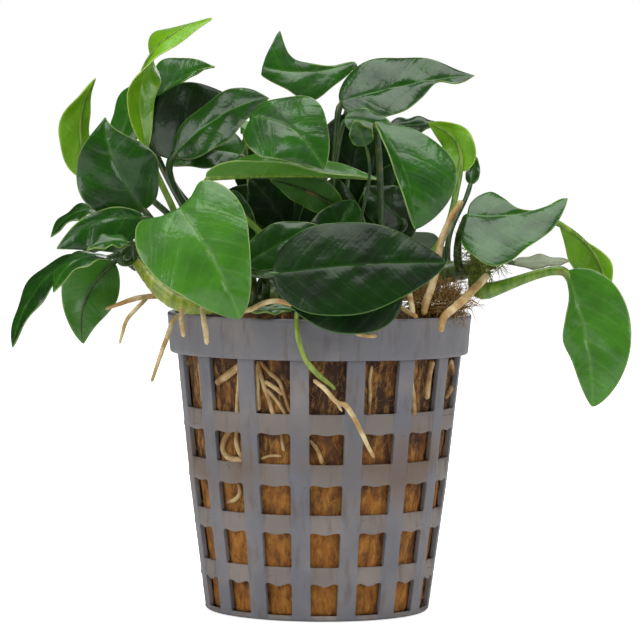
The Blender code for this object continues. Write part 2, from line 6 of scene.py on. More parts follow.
import logging
import math
from dataclasses import dataclass
from enum import Enum

import bpy
import numpy as np
from mathutils import Euler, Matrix, Quaternion, Vector, noise


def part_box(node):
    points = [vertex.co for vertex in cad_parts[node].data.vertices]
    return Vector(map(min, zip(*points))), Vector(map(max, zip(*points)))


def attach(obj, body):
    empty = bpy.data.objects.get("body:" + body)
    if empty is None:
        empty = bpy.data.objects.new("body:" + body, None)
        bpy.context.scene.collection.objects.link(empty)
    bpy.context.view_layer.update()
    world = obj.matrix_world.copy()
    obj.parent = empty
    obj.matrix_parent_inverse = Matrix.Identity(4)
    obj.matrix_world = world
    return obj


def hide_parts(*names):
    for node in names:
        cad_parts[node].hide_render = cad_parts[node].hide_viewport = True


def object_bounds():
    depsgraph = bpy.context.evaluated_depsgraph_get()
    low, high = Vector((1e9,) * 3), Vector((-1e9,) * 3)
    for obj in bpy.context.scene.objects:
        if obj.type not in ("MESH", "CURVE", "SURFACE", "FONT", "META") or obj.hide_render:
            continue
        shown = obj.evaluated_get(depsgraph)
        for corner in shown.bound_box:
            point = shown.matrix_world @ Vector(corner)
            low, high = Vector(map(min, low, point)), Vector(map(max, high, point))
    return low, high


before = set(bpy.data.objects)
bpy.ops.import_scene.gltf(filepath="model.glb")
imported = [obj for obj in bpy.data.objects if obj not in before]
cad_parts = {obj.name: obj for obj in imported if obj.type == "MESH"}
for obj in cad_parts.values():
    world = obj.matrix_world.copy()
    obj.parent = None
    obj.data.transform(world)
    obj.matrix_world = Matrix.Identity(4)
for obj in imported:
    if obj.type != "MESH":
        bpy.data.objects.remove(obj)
CAD_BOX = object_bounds()

MM = 0.001
TURN = 2.0 * math.pi
BODY = "root"
RGBA_FACTOR, RGBA_A, RGBA_B, RGBA_OUT = 0, 6, 7, 2
LOG = logging.getLogger("anubias")

Place = tuple[float, float, float]


# ---------------------------------------------------------------- shared helpers
def hex_to_linear(code: str) -> tuple[float, float, float, float]:
    """Turn an sRGB hex colour into a linear one.

    Args:
        code: The colour as "#rrggbb".

    Returns:
        Linear red, green and blue, with an alpha of one.
    """
    shares = [int(code[start:start + 2], 16) / 255.0 for start in (1, 3, 5)]
    linear = [c / 12.92 if c <= 0.04045 else ((c + 0.055) / 1.055) ** 2.4 for c in shares]
    return linear[0], linear[1], linear[2], 1.0


def add_node(tree: bpy.types.NodeTree, kind: str, settings: dict | None = None,
             links: dict | None = None) -> bpy.types.Node:
    """Add a node to a tree, set it up and link sockets into it.

    Args:
        tree: The shader or geometry tree.
        kind: The node's type name.
        settings: Values by property name, or by input name or number.
        links: Output sockets by the name or number of the input that they feed.

    Returns:
        The new node.
    """
    node = tree.nodes.new(kind)
    for key, value in (settings or {}).items():
        if isinstance(key, str) and key in node.bl_rna.properties:
            setattr(node, key, value)
        else:
            node.inputs[key].default_value = value
    for key, source in (links or {}).items():
        tree.links.new(source, node.inputs[key])
    return node


def new_material(name: str) -> tuple[bpy.types.Material, bpy.types.NodeTree, bpy.types.Node]:
    """Start a material.

    Args:
        name: The material's name.

    Returns:
        The material, its tree and its Principled shader.
    """
    material = bpy.data.materials.new(name)
    material.use_nodes = True
    tree = material.node_tree
    return material, tree, tree.nodes["Principled BSDF"]


def unit(vectors: np.ndarray) -> np.ndarray:
    """Return vectors at length one."""
    lengths = np.linalg.norm(vectors, axis=-1, keepdims=True)
    return vectors / np.maximum(lengths, 1e-12)


def smoothstep(low: float, high: float, value: np.ndarray) -> np.ndarray:
    """Return a smooth step from 0 at low to 1 at high."""
    share = np.clip((value - low) / (high - low), 0.0, 1.0)
    return share * share * (3.0 - 2.0 * share)


def smooth_through(values: tuple[float, ...], share: np.ndarray) -> np.ndarray:
    """Read a smooth curve through evenly spaced values.

    Args:
        values: The values, from share 0 to share 1.
        share: Where to read it.

    Returns:
        The curve's values.
    """
    knots = np.array(values)
    spot = np.clip(share, 0.0, 1.0) * (len(knots) - 1)
    low = np.clip(np.floor(spot).astype(int), 0, len(knots) - 2)
    part = spot - low
    a, b = knots[np.maximum(low - 1, 0)], knots[low]
    c, d = knots[low + 1], knots[np.minimum(low + 2, len(knots) - 1)]
    return b + 0.5 * part * (c - a + part * (2.0 * a - 5.0 * b + 4.0 * c - d
                                             + part * (3.0 * (b - c) + d - a)))


def mesh_object(name: str, places: np.ndarray, faces: list) -> bpy.types.Object:
    """Make a smooth mesh object in the scene.

    Args:
        name: The object's name.
        places: Vertex places in millimetres.
        faces: Vertex numbers of each face.

    Returns:
        The new object, at the origin.
    """
    data = bpy.data.meshes.new(name)
    data.from_pydata((np.asarray(places) * MM).tolist(), [], faces)
    data.shade_smooth()
    obj = bpy.data.objects.new(name, data)
    bpy.context.scene.collection.objects.link(obj)
    return obj


def store_values(mesh: bpy.types.Mesh, name: str, values: np.ndarray) -> None:
    """Store one number for each vertex of a mesh under a name."""
    attribute = mesh.attributes.new(name, "FLOAT", "POINT")
    attribute.data.foreach_set("value", np.asarray(values, np.float32).ravel())


def sweep(places: np.ndarray, radii: np.ndarray, sides: int) -> tuple[np.ndarray, list]:
    """Sweep a circle along a path, without twisting it, and close both ends.

    Args:
        places: The path's points.
        radii: The radius at each point.
        sides: How many corners the circle has.

    Returns:
        Vertex places and faces, whose normals point outwards.
    """
    tangents = unit(np.gradient(places, axis=0))
    side = np.cross(tangents[0], (0.3, 0.2, 1.0))
    turns = np.linspace(0.0, TURN, sides, endpoint=False)
    rings = []
    for place, tangent, radius in zip(places, tangents, radii):
        side = unit(side - tangent * np.dot(side, tangent))
        other = np.cross(tangent, side)
        rings.append(place + radius * (np.outer(np.cos(turns), side) + np.outer(np.sin(turns), other)))
    count = len(rings)
    points = np.vstack(rings + [places[:1], places[-1:]])
    faces = []
    start, end = count * sides, count * sides + 1
    for corner in range(sides):
        after = (corner + 1) % sides
        faces.append((start, after, corner))
        for row in range(count - 1):
            low, high = row * sides, (row + 1) * sides
            faces.append((low + corner, low + after, high + after, high + corner))
        last = (count - 1) * sides
        faces.append((last + corner, last + after, end))
    return points, faces


def apply_modifiers(obj: bpy.types.Object) -> bpy.types.Object:
    """Replace an object's mesh by its evaluated shape and drop its modifiers."""
    bpy.context.view_layer.update()
    shape = obj.evaluated_get(bpy.context.evaluated_depsgraph_get())
    data = bpy.data.meshes.new_from_object(shape)
    obj.modifiers.clear()
    obj.data = data
    data.name = obj.name
    return obj


def run_tree(obj: bpy.types.Object, tree: bpy.types.NodeTree, values: dict) -> bpy.types.Object:
    """Run a Geometry Nodes tree on an object and keep the result as its plain mesh.

    Args:
        obj: The object whose mesh goes in.
        tree: The tree.
        values: The tree's inputs by name.

    Returns:
        The same object, without the modifier.
    """
    modifier = obj.modifiers.new(tree.name, "NODES")
    modifier.node_group = tree
    for item in tree.interface.items_tree:
        if item.in_out == "INPUT" and item.name in values:
            modifier[item.identifier] = values[item.name]
    return apply_modifiers(obj)


def join_pieces(name: str, pieces: list[bpy.types.Object]) -> bpy.types.Object:
    """Join several objects into the first and give it a name."""
    first = pieces[0]
    with bpy.context.temp_override(active_object=first, selected_editable_objects=pieces):
        bpy.ops.object.join()
    first.name = name
    first.data.name = name
    return first


def hand_over(piece: bpy.types.Object, slot: str, *nodes: str) -> None:
    """Let a finished piece ride on the body and stand for CAD nodes."""
    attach(piece, BODY)
    if nodes:
        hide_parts(*nodes)
    LOG.info("%s: %d faces", piece.name, len(piece.data.polygons))


# ---------------------------------------------------------------- finishes
@dataclass(frozen=True)
class WaxyLeaf:
    """Living anubias blade: thick green tissue under a smooth wax skin, wet.

    The wax gives a broad clear gloss that breaks up over the quilting between the side
    veins. The midrib and the very edge are paler, and the underside is paler and duller.
    """

    name: str
    upper: str
    deep: str
    under: str
    rib: str = "#6c9440"
    margin: str = "#9fb474"
    roughness: float = 0.3
    coat: float = 0.25
    shine: float = 0.5

    def make(self) -> bpy.types.Material:
        """Return the blade's material."""
        material, tree, shader = new_material(self.name)
        spot = add_node(tree, "ShaderNodeTexCoord").outputs["Object"]
        along = add_node(tree, "ShaderNodeAttribute", {"attribute_name": "along_mm"}).outputs["Fac"]
        across = add_node(tree, "ShaderNodeAttribute", {"attribute_name": "across_mm"})
        edge = add_node(tree, "ShaderNodeAttribute", {"attribute_name": "edge_mm"}).outputs["Fac"]
        under = add_node(tree, "ShaderNodeAttribute", {"attribute_name": "under"}).outputs["Fac"]
        away = add_node(tree, "ShaderNodeMath", {"operation": "ABSOLUTE"},
                        {0: across.outputs["Fac"]}).outputs[0]
        # tissue: patches of about 5 mm and a grain of about 0.8 mm
        patch = add_node(tree, "ShaderNodeTexNoise", {"Scale": 200.0, "Detail": 3.0},
                         {"Vector": spot})
        grain = add_node(tree, "ShaderNodeTexNoise", {"Scale": 1250.0, "Detail": 2.0},
                         {"Vector": spot})
        patch_share = add_node(tree, "ShaderNodeMapRange", {"From Min": 0.36, "From Max": 0.64},
                               {"Value": patch.outputs["Fac"]})
        tissue = add_node(tree, "ShaderNodeMix",
                          {"data_type": "RGBA", RGBA_A: hex_to_linear(self.upper),
                           RGBA_B: hex_to_linear(self.deep)},
                          {RGBA_FACTOR: patch_share.outputs[0]})
        # side veins leave the midrib at a slant and bend towards the tip
        bend = add_node(tree, "ShaderNodeMath", {"operation": "MULTIPLY_ADD", 1: -0.05, 2: -0.6},
                        {0: away})
        vein_row = add_node(tree, "ShaderNodeMath", {"operation": "MULTIPLY_ADD"},
                            {0: away, 1: bend.outputs[0], 2: along})
        fine = add_node(tree, "ShaderNodeMath", {"operation": "PINGPONG", 1: 0.45},
                        {0: vein_row.outputs[0]})
        broad = add_node(tree, "ShaderNodeMath", {"operation": "PINGPONG", 1: 1.5},
                         {0: vein_row.outputs[0]})
        fine_line = add_node(tree, "ShaderNodeMapRange",
                             {"From Min": 0.02, "From Max": 0.16, "To Min": 0.05, "To Max": 0.0},
                             {"Value": fine.outputs[0]})
        broad_line = add_node(tree, "ShaderNodeMapRange",
                              {"From Min": 0.05, "From Max": 0.5, "To Min": 0.13, "To Max": 0.0},
                              {"Value": broad.outputs[0]})
        lines = add_node(tree, "ShaderNodeMath", {"operation": "MAXIMUM"},
                         {0: fine_line.outputs[0], 1: broad_line.outputs[0]})
        veined = add_node(tree, "ShaderNodeMix", {"data_type": "RGBA", RGBA_B: hex_to_linear(self.rib)},
                          {RGBA_FACTOR: lines.outputs[0], RGBA_A: tissue.outputs[RGBA_OUT]})
        below = add_node(tree, "ShaderNodeMix",
                         {"data_type": "RGBA", RGBA_A: hex_to_linear(self.under),
                          RGBA_B: hex_to_linear(self.rib)},
                         {RGBA_FACTOR: lines.outputs[0]})
        faced = add_node(tree, "ShaderNodeMix", {"data_type": "RGBA"},
                         {RGBA_FACTOR: under, RGBA_A: veined.outputs[RGBA_OUT],
                          RGBA_B: below.outputs[RGBA_OUT]})
        rib_share = add_node(tree, "ShaderNodeMapRange",
                             {"From Min": 0.08, "From Max": 0.42, "To Min": 0.38, "To Max": 0.0},
                             {"Value": away})
        ribbed = add_node(tree, "ShaderNodeMix", {"data_type": "RGBA", RGBA_B: hex_to_linear(self.rib)},
                          {RGBA_FACTOR: rib_share.outputs[0], RGBA_A: faced.outputs[RGBA_OUT]})
        edge_share = add_node(tree, "ShaderNodeMapRange",
                              {"From Min": 0.04, "From Max": 0.26, "To Min": 0.7, "To Max": 0.0},
                              {"Value": edge})
        edged = add_node(tree, "ShaderNodeMix",
                         {"data_type": "RGBA", RGBA_B: hex_to_linear(self.margin)},
                         {RGBA_FACTOR: edge_share.outputs[0], RGBA_A: ribbed.outputs[RGBA_OUT]})
        grained = add_node(tree, "ShaderNodeMix",
                           {"data_type": "RGBA", "blend_type": "OVERLAY", RGBA_FACTOR: 0.12},
                           {RGBA_A: edged.outputs[RGBA_OUT], RGBA_B: grain.outputs["Color"]})
        grain_grey = add_node(tree, "ShaderNodeRGBToBW", links={0: grain.outputs["Color"]})
        tree.links.new(grain_grey.outputs[0], grained.inputs[RGBA_B])
        tree.links.new(grained.outputs[RGBA_OUT], shader.inputs["Base Color"])
        rough = add_node(tree, "ShaderNodeMapRange",
                         {"From Min": 0.3, "From Max": 0.7, "To Min": self.roughness - 0.07,
                          "To Max": self.roughness + 0.1}, {"Value": patch.outputs["Fac"]})
        dull = add_node(tree, "ShaderNodeMath", {"operation": "MULTIPLY_ADD", 1: 0.18},
                        {0: under, 2: rough.outputs[0]})
        tree.links.new(dull.outputs[0], shader.inputs["Roughness"])
        shader.inputs["Coat Weight"].default_value = self.coat
        shader.inputs["Coat Roughness"].default_value = 0.09
        shader.inputs["IOR"].default_value = 1.45
        shader.inputs["Specular IOR Level"].default_value = self.shine
        swell = add_node(tree, "ShaderNodeTexNoise", {"Scale": 420.0, "Detail": 2.0},
                         {"Vector": spot})
        height = add_node(tree, "ShaderNodeMath", {"operation": "MULTIPLY_ADD", 1: -0.9},
                          {0: lines.outputs[0], 2: swell.outputs["Fac"]})
        full = add_node(tree, "ShaderNodeMath", {"operation": "MULTIPLY_ADD", 1: 0.25},
                        {0: grain.outputs["Fac"], 2: height.outputs[0]})
        bump = add_node(tree, "ShaderNodeBump", {"Strength": 0.5, "Distance": 0.0003},
                        {"Height": full.outputs[0]})
        tree.links.new(bump.outputs[0], shader.inputs["Normal"])
        tree.links.new(bump.outputs[0], shader.inputs["Coat Normal"])
        return material


@dataclass(frozen=True)
class FleshyStem:
    """Green stalk and creeping stem: smooth fleshy skin with faint streaks along it."""

    name: str
    light: str
    dark: str
    scar: str = "#7a6a3a"
    roughness: float = 0.38

    def make(self) -> bpy.types.Material:
        """Return the stem's material."""
        material, tree, shader = new_material(self.name)
        spot = add_node(tree, "ShaderNodeTexCoord").outputs["Object"]
        streaks = add_node(tree, "ShaderNodeMapping", {"Scale": (1.0, 1.0, 0.22)},
                           {"Vector": spot})
        streak = add_node(tree, "ShaderNodeTexNoise", {"Scale": 1400.0, "Detail": 2.0},
                          {"Vector": streaks.outputs[0]})
        patch = add_node(tree, "ShaderNodeTexNoise", {"Scale": 260.0, "Detail": 3.0},
                         {"Vector": spot})
        share = add_node(tree, "ShaderNodeMapRange", {"From Min": 0.35, "From Max": 0.65},
                         {"Value": streak.outputs["Fac"]})
        skin = add_node(tree, "ShaderNodeMix",
                        {"data_type": "RGBA", RGBA_A: hex_to_linear(self.light),
                         RGBA_B: hex_to_linear(self.dark)}, {RGBA_FACTOR: share.outputs[0]})
        scars = add_node(tree, "ShaderNodeMapRange",
                         {"From Min": 0.6, "From Max": 0.72, "To Min": 0.0, "To Max": 0.7},
                         {"Value": patch.outputs["Fac"]})
        marked = add_node(tree, "ShaderNodeMix",
                          {"data_type": "RGBA", RGBA_B: hex_to_linear(self.scar)},
                          {RGBA_FACTOR: scars.outputs[0], RGBA_A: skin.outputs[RGBA_OUT]})
        tree.links.new(marked.outputs[RGBA_OUT], shader.inputs["Base Color"])
        shader.inputs["Roughness"].default_value = self.roughness
        shader.inputs["Coat Weight"].default_value = 0.2
        shader.inputs["Coat Roughness"].default_value = 0.2
        bump = add_node(tree, "ShaderNodeBump", {"Strength": 0.35, "Distance": 0.00012},
                        {"Height": streak.outputs["Fac"]})
        tree.links.new(bump.outputs[0], shader.inputs["Normal"])
        return material


@dataclass(frozen=True)
class RootSkin:
    """Living root: matt corky skin, cream to tan, with darker rubbed patches."""

    name: str
    light: str
    dark: str
    stain: str = "#7d5a2c"

    def make(self) -> bpy.types.Material:
        """Return the root's material."""
        material, tree, shader = new_material(self.name)
        spot = add_node(tree, "ShaderNodeTexCoord").outputs["Object"]
        patch = add_node(tree, "ShaderNodeTexNoise", {"Scale": 330.0, "Detail": 4.0},
                         {"Vector": spot})
        grain = add_node(tree, "ShaderNodeTexNoise", {"Scale": 2200.0, "Detail": 3.0},
                         {"Vector": spot})
        share = add_node(tree, "ShaderNodeMapRange", {"From Min": 0.38, "From Max": 0.62},
                         {"Value": patch.outputs["Fac"]})
        skin = add_node(tree, "ShaderNodeMix",
                        {"data_type": "RGBA", RGBA_A: hex_to_linear(self.light),
                         RGBA_B: hex_to_linear(self.dark)}, {RGBA_FACTOR: share.outputs[0]})
        rubbed = add_node(tree, "ShaderNodeMapRange",
                          {"From Min": 0.58, "From Max": 0.75, "To Min": 0.0, "To Max": 0.6},
                          {"Value": grain.outputs["Fac"]})
        marked = add_node(tree, "ShaderNodeMix",
                          {"data_type": "RGBA", RGBA_B: hex_to_linear(self.stain)},
                          {RGBA_FACTOR: rubbed.outputs[0], RGBA_A: skin.outputs[RGBA_OUT]})
        tree.links.new(marked.outputs[RGBA_OUT], shader.inputs["Base Color"])
        shader.inputs["Roughness"].default_value = 0.55
        bump = add_node(tree, "ShaderNodeBump", {"Strength": 0.5, "Distance": 0.0001},
                        {"Height": grain.outputs["Fac"]})
        tree.links.new(bump.outputs[0], shader.inputs["Normal"])
        return material


@dataclass(frozen=True)
class PotPlastic:
    """Moulded polypropylene: semi-matt grey, with faint flow marks, limescale and dirt."""

    name: str = "moulded_grey_polypropylene"
    rib: str = "#6b6c73"
    band: str = "#79706b"
    scale_film: str = "#a1958d"
    dirt: str = "#54402f"
    rust: str = "#70503f"
    rust_place: Place = (14.5, -16.5, 24.9)
    rust_reach: float = 8.0
    belt: str = "#63503f"
    belt_height: float = 25.0
    belt_reach: float = 9.0

    def make(self) -> bpy.types.Material:
        """Return the pot's material."""
        material, tree, shader = new_material(self.name)
        spot = add_node(tree, "ShaderNodeTexCoord").outputs["Object"]
        band = add_node(tree, "ShaderNodeAttribute", {"attribute_name": "band"}).outputs["Fac"]
        cloud = add_node(tree, "ShaderNodeTexNoise", {"Scale": 110.0, "Detail": 4.0},
                         {"Vector": spot})
        grain = add_node(tree, "ShaderNodeTexNoise", {"Scale": 1500.0, "Detail": 3.0},
                         {"Vector": spot})
        upright = add_node(tree, "ShaderNodeMapping", {"Scale": (1.0, 1.0, 0.2)},
                           {"Vector": spot})
        runs = add_node(tree, "ShaderNodeTexNoise", {"Scale": 700.0, "Detail": 3.0},
                        {"Vector": upright.outputs[0]})
        base = add_node(tree, "ShaderNodeMix",
                        {"data_type": "RGBA", RGBA_A: hex_to_linear(self.rib),
                         RGBA_B: hex_to_linear(self.band)}, {RGBA_FACTOR: band})
        film = add_node(tree, "ShaderNodeMapRange",
                        {"From Min": 0.45, "From Max": 0.75, "To Min": 0.0, "To Max": 0.45},
                        {"Value": cloud.outputs["Fac"]})
        filmed = add_node(tree, "ShaderNodeMix",
                          {"data_type": "RGBA", RGBA_B: hex_to_linear(self.scale_film)},
                          {RGBA_FACTOR: film.outputs[0], RGBA_A: base.outputs[RGBA_OUT]})
        soil = add_node(tree, "ShaderNodeMapRange",
                        {"From Min": 0.55, "From Max": 0.75, "To Min": 0.0, "To Max": 0.5},
                        {"Value": runs.outputs["Fac"]})
        soiled = add_node(tree, "ShaderNodeMix",
                          {"data_type": "RGBA", RGBA_B: hex_to_linear(self.dirt)},
                          {RGBA_FACTOR: soil.outputs[0], RGBA_A: filmed.outputs[RGBA_OUT]})
        offset = add_node(tree, "ShaderNodeVectorMath",
                          {"operation": "DISTANCE", 1: [value * MM for value in self.rust_place]},
                          {0: spot})
        near = add_node(tree, "ShaderNodeMapRange",
                        {"From Min": 0.0, "From Max": self.rust_reach * MM, "To Min": 1.2,
                         "To Max": 0.0}, {"Value": offset.outputs["Value"]})
        broken = add_node(tree, "ShaderNodeMath", {"operation": "MULTIPLY", "use_clamp": True},
                          {0: near.outputs[0], 1: grain.outputs["Fac"]})
        rusted = add_node(tree, "ShaderNodeMix",
                          {"data_type": "RGBA", RGBA_B: hex_to_linear(self.rust)},
                          {RGBA_FACTOR: broken.outputs[0], RGBA_A: soiled.outputs[RGBA_OUT]})
        height = add_node(tree, "ShaderNodeSeparateXYZ", links={0: spot}).outputs["Z"]
        drop = add_node(tree, "ShaderNodeMath", {"operation": "SUBTRACT", 1: self.belt_height * MM},
                        {0: height})
        far = add_node(tree, "ShaderNodeMath", {"operation": "ABSOLUTE"}, {0: drop.outputs[0]})
        belt = add_node(tree, "ShaderNodeMapRange",
                        {"From Min": 0.0, "From Max": self.belt_reach * MM, "To Min": 1.0,
                         "To Max": 0.0}, {"Value": far.outputs[0]})
        blotch = add_node(tree, "ShaderNodeMapRange",
                          {"From Min": 0.4, "From Max": 0.66, "To Min": 0.0, "To Max": 0.75},
                          {"Value": cloud.outputs["Fac"]})
        stain = add_node(tree, "ShaderNodeMath", {"operation": "MULTIPLY"},
                         {0: belt.outputs[0], 1: blotch.outputs[0]})
        stained = add_node(tree, "ShaderNodeMix",
                           {"data_type": "RGBA", RGBA_B: hex_to_linear(self.belt)},
                           {RGBA_FACTOR: stain.outputs[0], RGBA_A: rusted.outputs[RGBA_OUT]})
        tree.links.new(stained.outputs[RGBA_OUT], shader.inputs["Base Color"])
        rough = add_node(tree, "ShaderNodeMapRange",
                         {"From Min": 0.3, "From Max": 0.7, "To Min": 0.4, "To Max": 0.58},
                         {"Value": cloud.outputs["Fac"]})
        tree.links.new(rough.outputs[0], shader.inputs["Roughness"])
        bump = add_node(tree, "ShaderNodeBump", {"Strength": 0.25, "Distance": 0.00008},
                        {"Height": grain.outputs["Fac"]})
        tree.links.new(bump.outputs[0], shader.inputs["Normal"])
        return material


@dataclass(frozen=True)
class StoneWool:
    """Stone wool: brown spun mineral fibre, matt, darker towards the top."""

    name: str = "stained_stone_wool"
    top: str = "#3a210f"
    bottom: str = "#9c6220"
    pale: str = "#d39a45"
    dark: str = "#221206"
    turn_height: float = 24.0
    grain_seed: float = 0.0

    def make(self) -> bpy.types.Material:
        """Return the wool's material."""
        material, tree, shader = new_material(self.name)
        spot = add_node(tree, "ShaderNodeTexCoord").outputs["Object"]
        height = add_node(tree, "ShaderNodeSeparateXYZ", links={0: spot}).outputs["Z"]
        cloud = add_node(tree, "ShaderNodeTexNoise", {"Scale": 240.0, "Detail": 4.0},
                         {"Vector": spot})
        combed = add_node(tree, "ShaderNodeMapping",
                          {"Rotation": (0.5, 0.35, 0.0), "Scale": (1.0, 1.0, 0.35)},
                          {"Vector": spot})
        fibres = add_node(tree, "ShaderNodeTexNoise",
                          {"Scale": 900.0, "Detail": 7.0, "Roughness": 0.72, "Distortion": 0.15},
                          {"Vector": combed.outputs[0]})
        # colour runs darker towards the top with height, broken by cloudy patches
        level = add_node(tree, "ShaderNodeMapRange",
                         {"From Min": (self.turn_height - 14.0) * MM,
                          "From Max": (self.turn_height + 12.0) * MM}, {"Value": height})
        mixed = add_node(tree, "ShaderNodeMath", {"operation": "MULTIPLY_ADD", 1: 2.4, 2: -1.2},
                         {0: cloud.outputs["Fac"]})
        stain = add_node(tree, "ShaderNodeMath", {"operation": "ADD", "use_clamp": True},
                         {0: level.outputs[0], 1: mixed.outputs[0]})
        base = add_node(tree, "ShaderNodeMix",
                        {"data_type": "RGBA", RGBA_A: hex_to_linear(self.bottom),
                         RGBA_B: hex_to_linear(self.top)}, {RGBA_FACTOR: stain.outputs[0]})
        # pale where the fibre noise is high: partly the fibres' own paler colour, partly painted
        # highlight on the raised fibres that the bump lifts
        light = add_node(tree, "ShaderNodeMapRange",
                         {"From Min": 0.5, "From Max": 0.72, "To Min": 0.0, "To Max": 0.7},
                         {"Value": fibres.outputs["Fac"]})
        lit = add_node(tree, "ShaderNodeMix",
                       {"data_type": "RGBA", RGBA_B: hex_to_linear(self.pale)},
                       {RGBA_FACTOR: light.outputs[0], RGBA_A: base.outputs[RGBA_OUT]})
        # painted shade: dark where the fibre noise is low, in the hollows that the bump sinks
        deep = add_node(tree, "ShaderNodeMapRange",
                        {"From Min": 0.49, "From Max": 0.3, "To Min": 0.0, "To Max": 0.9},
                        {"Value": fibres.outputs["Fac"]})
        hollow_shade = add_node(tree, "ShaderNodeMix",
                        {"data_type": "RGBA", RGBA_B: hex_to_linear(self.dark)},
                        {RGBA_FACTOR: deep.outputs[0], RGBA_A: lit.outputs[RGBA_OUT]})
        tree.links.new(hollow_shade.outputs[RGBA_OUT], shader.inputs["Base Color"])
        shader.inputs["Roughness"].default_value = 0.85
        bump = add_node(tree, "ShaderNodeBump", {"Strength": 0.9, "Distance": 0.0004},
                        {"Height": fibres.outputs["Fac"]})
        tree.links.new(bump.outputs[0], shader.inputs["Normal"])
        return material


@dataclass(frozen=True)
class ThreadFinish:
    """Fine plant thread or mineral fibre, each strand with a tint of its own."""

    name: str
    light: str
    dark: str
    roughness: float = 0.6

    def make(self) -> bpy.types.Material:
        """Return the thread's material."""
        material, tree, shader = new_material(self.name)
        tint = add_node(tree, "ShaderNodeAttribute", {"attribute_name": "tint"}).outputs["Fac"]
        spot = add_node(tree, "ShaderNodeTexCoord").outputs["Object"]
        grain = add_node(tree, "ShaderNodeTexNoise", {"Scale": 900.0}, {"Vector": spot})
        blend = add_node(tree, "ShaderNodeMath", {"operation": "MULTIPLY_ADD", 1: 0.5, 2: -0.25},
                         {0: grain.outputs["Fac"]})
        share = add_node(tree, "ShaderNodeMath", {"operation": "ADD", "use_clamp": True},
                         {0: tint, 1: blend.outputs[0]})
        colour = add_node(tree, "ShaderNodeMix",
                          {"data_type": "RGBA", RGBA_A: hex_to_linear(self.dark),
                           RGBA_B: hex_to_linear(self.light)}, {RGBA_FACTOR: share.outputs[0]})
        tree.links.new(colour.outputs[RGBA_OUT], shader.inputs["Base Color"])
        shader.inputs["Roughness"].default_value = self.roughness
        return material


class Tone(Enum):
    """How old a leaf is, which sets its greens; DEEP and LIME also carry painted shade and painted
    light.
    """

    # DEEP is partly the old leaf's own dark green and partly painted shade, for leaves deep in the
    # crown and under other leaves
    DEEP = WaxyLeaf("old_shaded_leaf_wax", "#16330e", "#0d2109", "#22480f", "#2f541c", "#56803a",
                    0.33, 0.1, 0.24)
    DARK = WaxyLeaf("dark_leaf_wax", "#1d4c0b", "#123607", "#356a12", "#3d7420", "#7f9c4c")
    GREEN = WaxyLeaf("green_leaf_wax", "#2a6013", "#19460b", "#3f7414", "#4e8226", "#8ba852")
    FRESH = WaxyLeaf("fresh_leaf_wax", "#448020", "#336a15", "#4f8a1a", "#68993a", "#a3bc68")
    # LIME is partly the young leaf's own lime green and partly painted light: its brighter greens stand
    # in for light shining through the thin blade
    LIME = WaxyLeaf("young_lime_leaf_wax", "#73a80e", "#5b9408", "#72ae04", "#88b41c", "#b4c860")
    PALE = WaxyLeaf("drying_leaf_wax", "#8d9a7c", "#6d7a58", "#97a08a", "#a7a78a", "#6a5a34",
                    0.5, 0.1)


# ---------------------------------------------------------------- leaves
BLADE_ROWS = 72
ACROSS = (0.0, 0.02, 0.045, 0.08, 0.13, 0.2, 0.29, 0.39, 0.5, 0.61, 0.71, 0.8, 0.88, 0.94, 0.975,
          0.993, 1.0)
HALF_THICK = 0.17
VEIN_SPACING = 3.0
RIB_GROOVE = 0.12
QUILT = 0.014
RIPPLE = 0.14
STALK_SIDES = 10
STEM_REACH = 9.5
WOOL_DEPTH = 46.0


def stalk_origin(site: np.ndarray) -> np.ndarray:
    """Return where a stalk springs from: the nearest creeping stem, or the wool below it.

    Args:
        site: Where the stalk comes into view, in millimetres.

    Returns:
        A place inside the stem or inside the wool.
    """
    t = np.linspace(0.0, 1.0, 12)[:, None]
    axes = [np.array(strand.places, dtype=float) for strand in STEMS + SHEATHS]
    places = np.vstack([first * (1.0 - t) + second * t
                        for axis in axes for first, second in zip(axis[:-1], axis[1:])])
    spans = np.linalg.norm(places - site, axis=1)
    nearest = int(spans.argmin())
    if spans[nearest] < STEM_REACH:
        return places[nearest]
    return np.array((site[0], site[1], WOOL_DEPTH))


